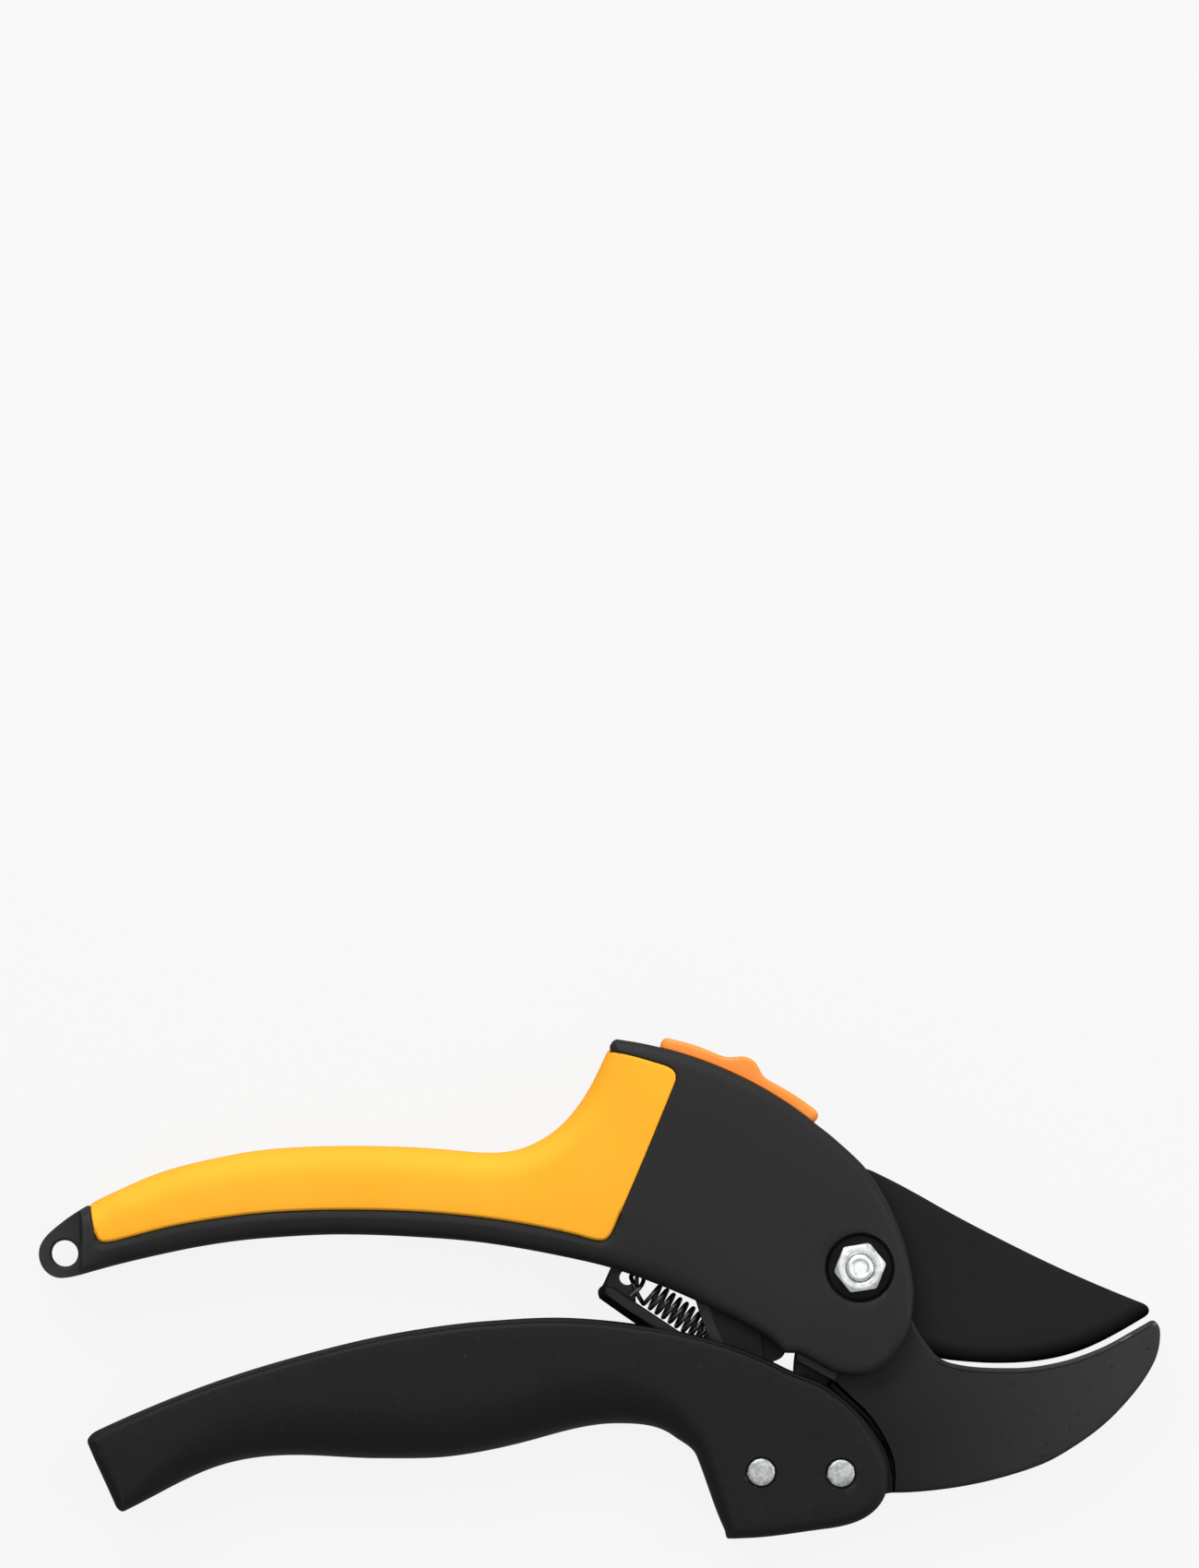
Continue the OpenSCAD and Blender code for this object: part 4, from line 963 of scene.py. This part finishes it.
# ---------- return spring
def sweep(name, path, r, sides=8):
    """Round wire along a path, closed at both ends."""
    path = np.asarray(path, float)
    t = np.gradient(path, axis=0)
    t /= np.linalg.norm(t, axis=1)[:, None]
    up = np.array([0.0, 0.0, 1.0]) if abs(t[0][2]) < 0.9 else np.array([1.0, 0.0, 0.0])
    verts = []
    for p, q in zip(path, t):
        side = np.cross(q, up)
        side /= np.linalg.norm(side)
        up = np.cross(side, q)
        for k in range(sides):
            a = 2 * math.pi * k / sides
            verts.append(p + r * (math.cos(a) * side + math.sin(a) * up))
    n = len(path)
    return face_outward(new_object(name, np.array(verts) * MM, strip_faces(n, sides), 50), 50)


def spline(points, steps=7):
    """Catmull-Rom curve through the points."""
    p = np.vstack([2 * points[0] - points[1], points, 2 * points[-1] - points[-2]])
    t = (np.arange(steps) / steps)[:, None]
    out = [0.5 * (2 * p1 + (p2 - p0) * t + (2 * p0 - 5 * p1 + 4 * p2 - p3) * t ** 2
                  + (3 * p1 - p0 - 3 * p2 + p3) * t ** 3)
           for p0, p1, p2, p3 in zip(p, p[1:], p[2:], p[3:])]
    return np.vstack(out + [p[-2:-1]])


eye = np.array([*EYE, SPRING_Z])
pin = np.array([*ANCHOR, SPRING_Z])
along = (pin - eye) / float(np.linalg.norm(pin - eye))
up = np.array([0.0, 0.0, 1.0])
across = np.cross(up, along)
wire_r, coil_r, pitch, coil_count = 0.42, 2.28, 1.47, 9.25
first = 5.2  # distance from the eye to the first coil
last = first + coil_count * pitch
# The hook rests its cut end on the lug, drops past the lug's side, comes up through the eye and
# crosses over the lug to the first coil.
hook = [[-42.3, -5.3, 13.75], [-41.2, -4.35, 13.85], [-40.35, -3.45, 13.5], [-39.85, -2.3, 12.3],
        [-40.0, -1.3, 11.0], [-40.8, -0.95, 10.05], [-41.75, -1.3, 9.85], [-42.2, -1.8, 10.4],
        [-42.1, -2.15, 11.6], [-41.8, -2.9, 12.75], [-41.35, -4.1, 13.05], [-40.75, -5.4, 12.7]]
s_at = np.arange(first, last, pitch / 24)
turn = -math.pi / 2 + 2 * math.pi * (s_at - first) / pitch
round_axis = np.cos(turn)[:, None] * up + np.sin(turn)[:, None] * across
coils = eye - 0.05 * across - 0.2 * up + along * s_at[:, None] + coil_r * round_axis
ring = np.radians(np.linspace(150, -120, 24))[:, None]  # loop round the anchor pin, lying flat
tail = pin + 1.4 * (along * np.cos(ring) + across * np.sin(ring))
ease = np.linspace(0, 1, 32)[1:-1, None]
path = np.vstack([spline(np.array(hook + [coils[0].tolist()]))[:-1], coils,
                  coils[-1] * (1 - ease) + tail[0] * ease, tail])
spring = give(sweep("return_spring_wire", path, wire_r), "wire")
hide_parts("return_spring")
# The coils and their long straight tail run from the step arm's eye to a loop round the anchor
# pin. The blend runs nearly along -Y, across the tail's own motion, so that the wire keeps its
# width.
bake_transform(spring)

# ---------- lock button
base_r = TRACK_R + 0.06
HALF_W = 5.5
phis = np.linspace(51.8, 76.3, 150)  # bearings of the strip's sections
# Bearing and outer radius of the strip and its thumb ridge
RIDGE = np.array([
    [50, 76.5], [54.8, 76.5], [57.4, 76.45], [60.2, 76.28], [61.2, 76.4], [61.8, 76.8],
    [62.4, 77.5], [62.9, 77.95], [63.5, 78.22], [64.2, 78.28], [64.9, 78.1], [65.7, 77.55],
    [66.4, 76.95], [67.1, 76.62], [68.2, 76.5], [71.4, 76.68], [74.5, 76.55], [78, 76.5]])


def outer_r(phi):
    """RIDGE's radius at a bearing, averaged over 0.9 degrees."""
    near = np.linspace(-0.45, 0.45, 7)
    return float(np.interp(phi + near, RIDGE[:, 0], RIDGE[:, 1]).mean())


verts = []
for phi in phis:
    end = min(phi - phis[0], phis[-1] - phi) * math.pi / 180 * 76  # mm to the nearer end
    rounding = math.sqrt(max(1 - (1 - min(1.0, end / 1.4)) ** 2, 0))  # 0 at both ends
    half_w = HALF_W - 1.3 * (1 - rounding)
    t_here = (outer_r(phi) - base_r) * (rounding * 0.55 + 0.45)
    c, b = min(0.75, t_here * 0.45), 0.2  # corner radii, outside and against the handle
    section = []
    for mid_r, radius, sz, a0 in ((t_here - c, c, 1, 90), (t_here - c, c, -1, 0),
                                  (b, b, -1, -90), (b, b, 1, 180)):
        for q in np.linspace(0, 90, 7):
            a = math.radians(a0 - q)
            dz = (half_w - radius) * sz + radius * math.sin(a)
            section.append((mid_r + radius * math.cos(a), dz))
    a = math.radians(phi)
    for dr, dz in section:
        r = base_r + dr
        verts.append((LOCK_AT[0] + r * math.cos(a), LOCK_AT[1] + r * math.sin(a),
                      THICK / 2 + dz))
faces = strip_faces(len(phis), len(section))
button = face_outward(new_object("lock_button_moulded", np.array(verts) * MM, faces, 40), 40)
give(button, "lock")
stand(button, "lock", "lock_plastic", "lock_button")

# ---------- CAD nodes that stay
for node, key in (("back_rack_plate", "steel"), ("rack_dowels", "zinc"), ("pivot_bush", "bronze"),
                  ("thrust_washer", "washer"), ("spring_anchor_pin", "zinc"),
                  ("step_pin", "zinc"), ("lock_tongue", "steel")):
    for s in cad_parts[node].material_slots:
        s.material = M[key]

# ---------- floor, light and camera
floor_mesh = bpy.data.meshes.new("floor")
floor_mesh.from_pydata([(x, y, -0.0004) for x, y in ((-6, -6), (6, -6), (6, 6), (-6, 6))],
                       [], [(0, 1, 2, 3)])
floor = place("floor", floor_mesh)
pale = bpy.data.materials.new("pale_floor")
pale.use_nodes = True
for key, value in (("Base Color", (0.05, 0.05, 0.05, 1)), ("Roughness", 0.9),
                   ("Specular IOR Level", 0.0), ("Emission Color", (1, 1, 1, 1)),
                   ("Emission Strength", 0.88)):
    pale.node_tree.nodes["Principled BSDF"].inputs[key].default_value = value
floor_mesh.materials.append(pale)
floor.visible_glossy = False
floor.visible_diffuse = False

world = bpy.data.worlds.new("studio")
world.use_nodes = True
sky = world.node_tree.nodes["Background"].inputs
sky["Color"].default_value, sky["Strength"].default_value = (1, 1, 1, 1), 0.37
bpy.context.scene.world = world
bpy.context.scene.view_settings.view_transform = "Standard"


def area(name, loc, size, power, aim=(-0.048, 0.0, 0.0)):
    """Rectangular light aimed at the tool, in metres and watts, that the camera doesn't see."""
    light = bpy.data.lights.new(name, "AREA")
    light.shape, light.size, light.size_y, light.energy = "RECTANGLE", size[0], size[1], power
    obj = place(name, light)
    obj.location = loc
    obj.rotation_euler = (Vector(aim) - Vector(loc)).to_track_quat("-Z", "Y").to_euler()
    obj.visible_camera = False


area("key", (-0.35, 0.75, 0.95), (0.7, 0.5), 8.2)
area("fill", (0.7, 0.25, 0.8), (0.6, 0.6), 3.0)
area("low", (-0.1, -0.8, 0.7), (0.8, 0.4), 0.4)
area("top", (-0.03, 0.03, 1.2), (0.6, 0.6), 1.2, aim=(-0.03, 0.03, 0.0))
area("rim", (-0.05, 1.1, 0.16), (1.0, 0.16), 6.5)
area("side", (0.95, -0.1, 0.14), (0.5, 0.14), 2.0)

LENS, SENSOR = 800.0, 36.0  # mm
FRAME_H = 0.2893  # metres that the picture's height shows
cam_data = bpy.data.cameras.new("camera")
cam_data.lens, cam_data.sensor_width, cam_data.sensor_fit = LENS, SENSOR, "AUTO"
cam_data.clip_start, cam_data.clip_end = 0.1, 20
cam = place("camera", cam_data)  # looks straight down
cam.location = (-0.0480, 0.0891, 0.01 + FRAME_H * LENS / SENSOR)
bpy.context.scene.camera = cam
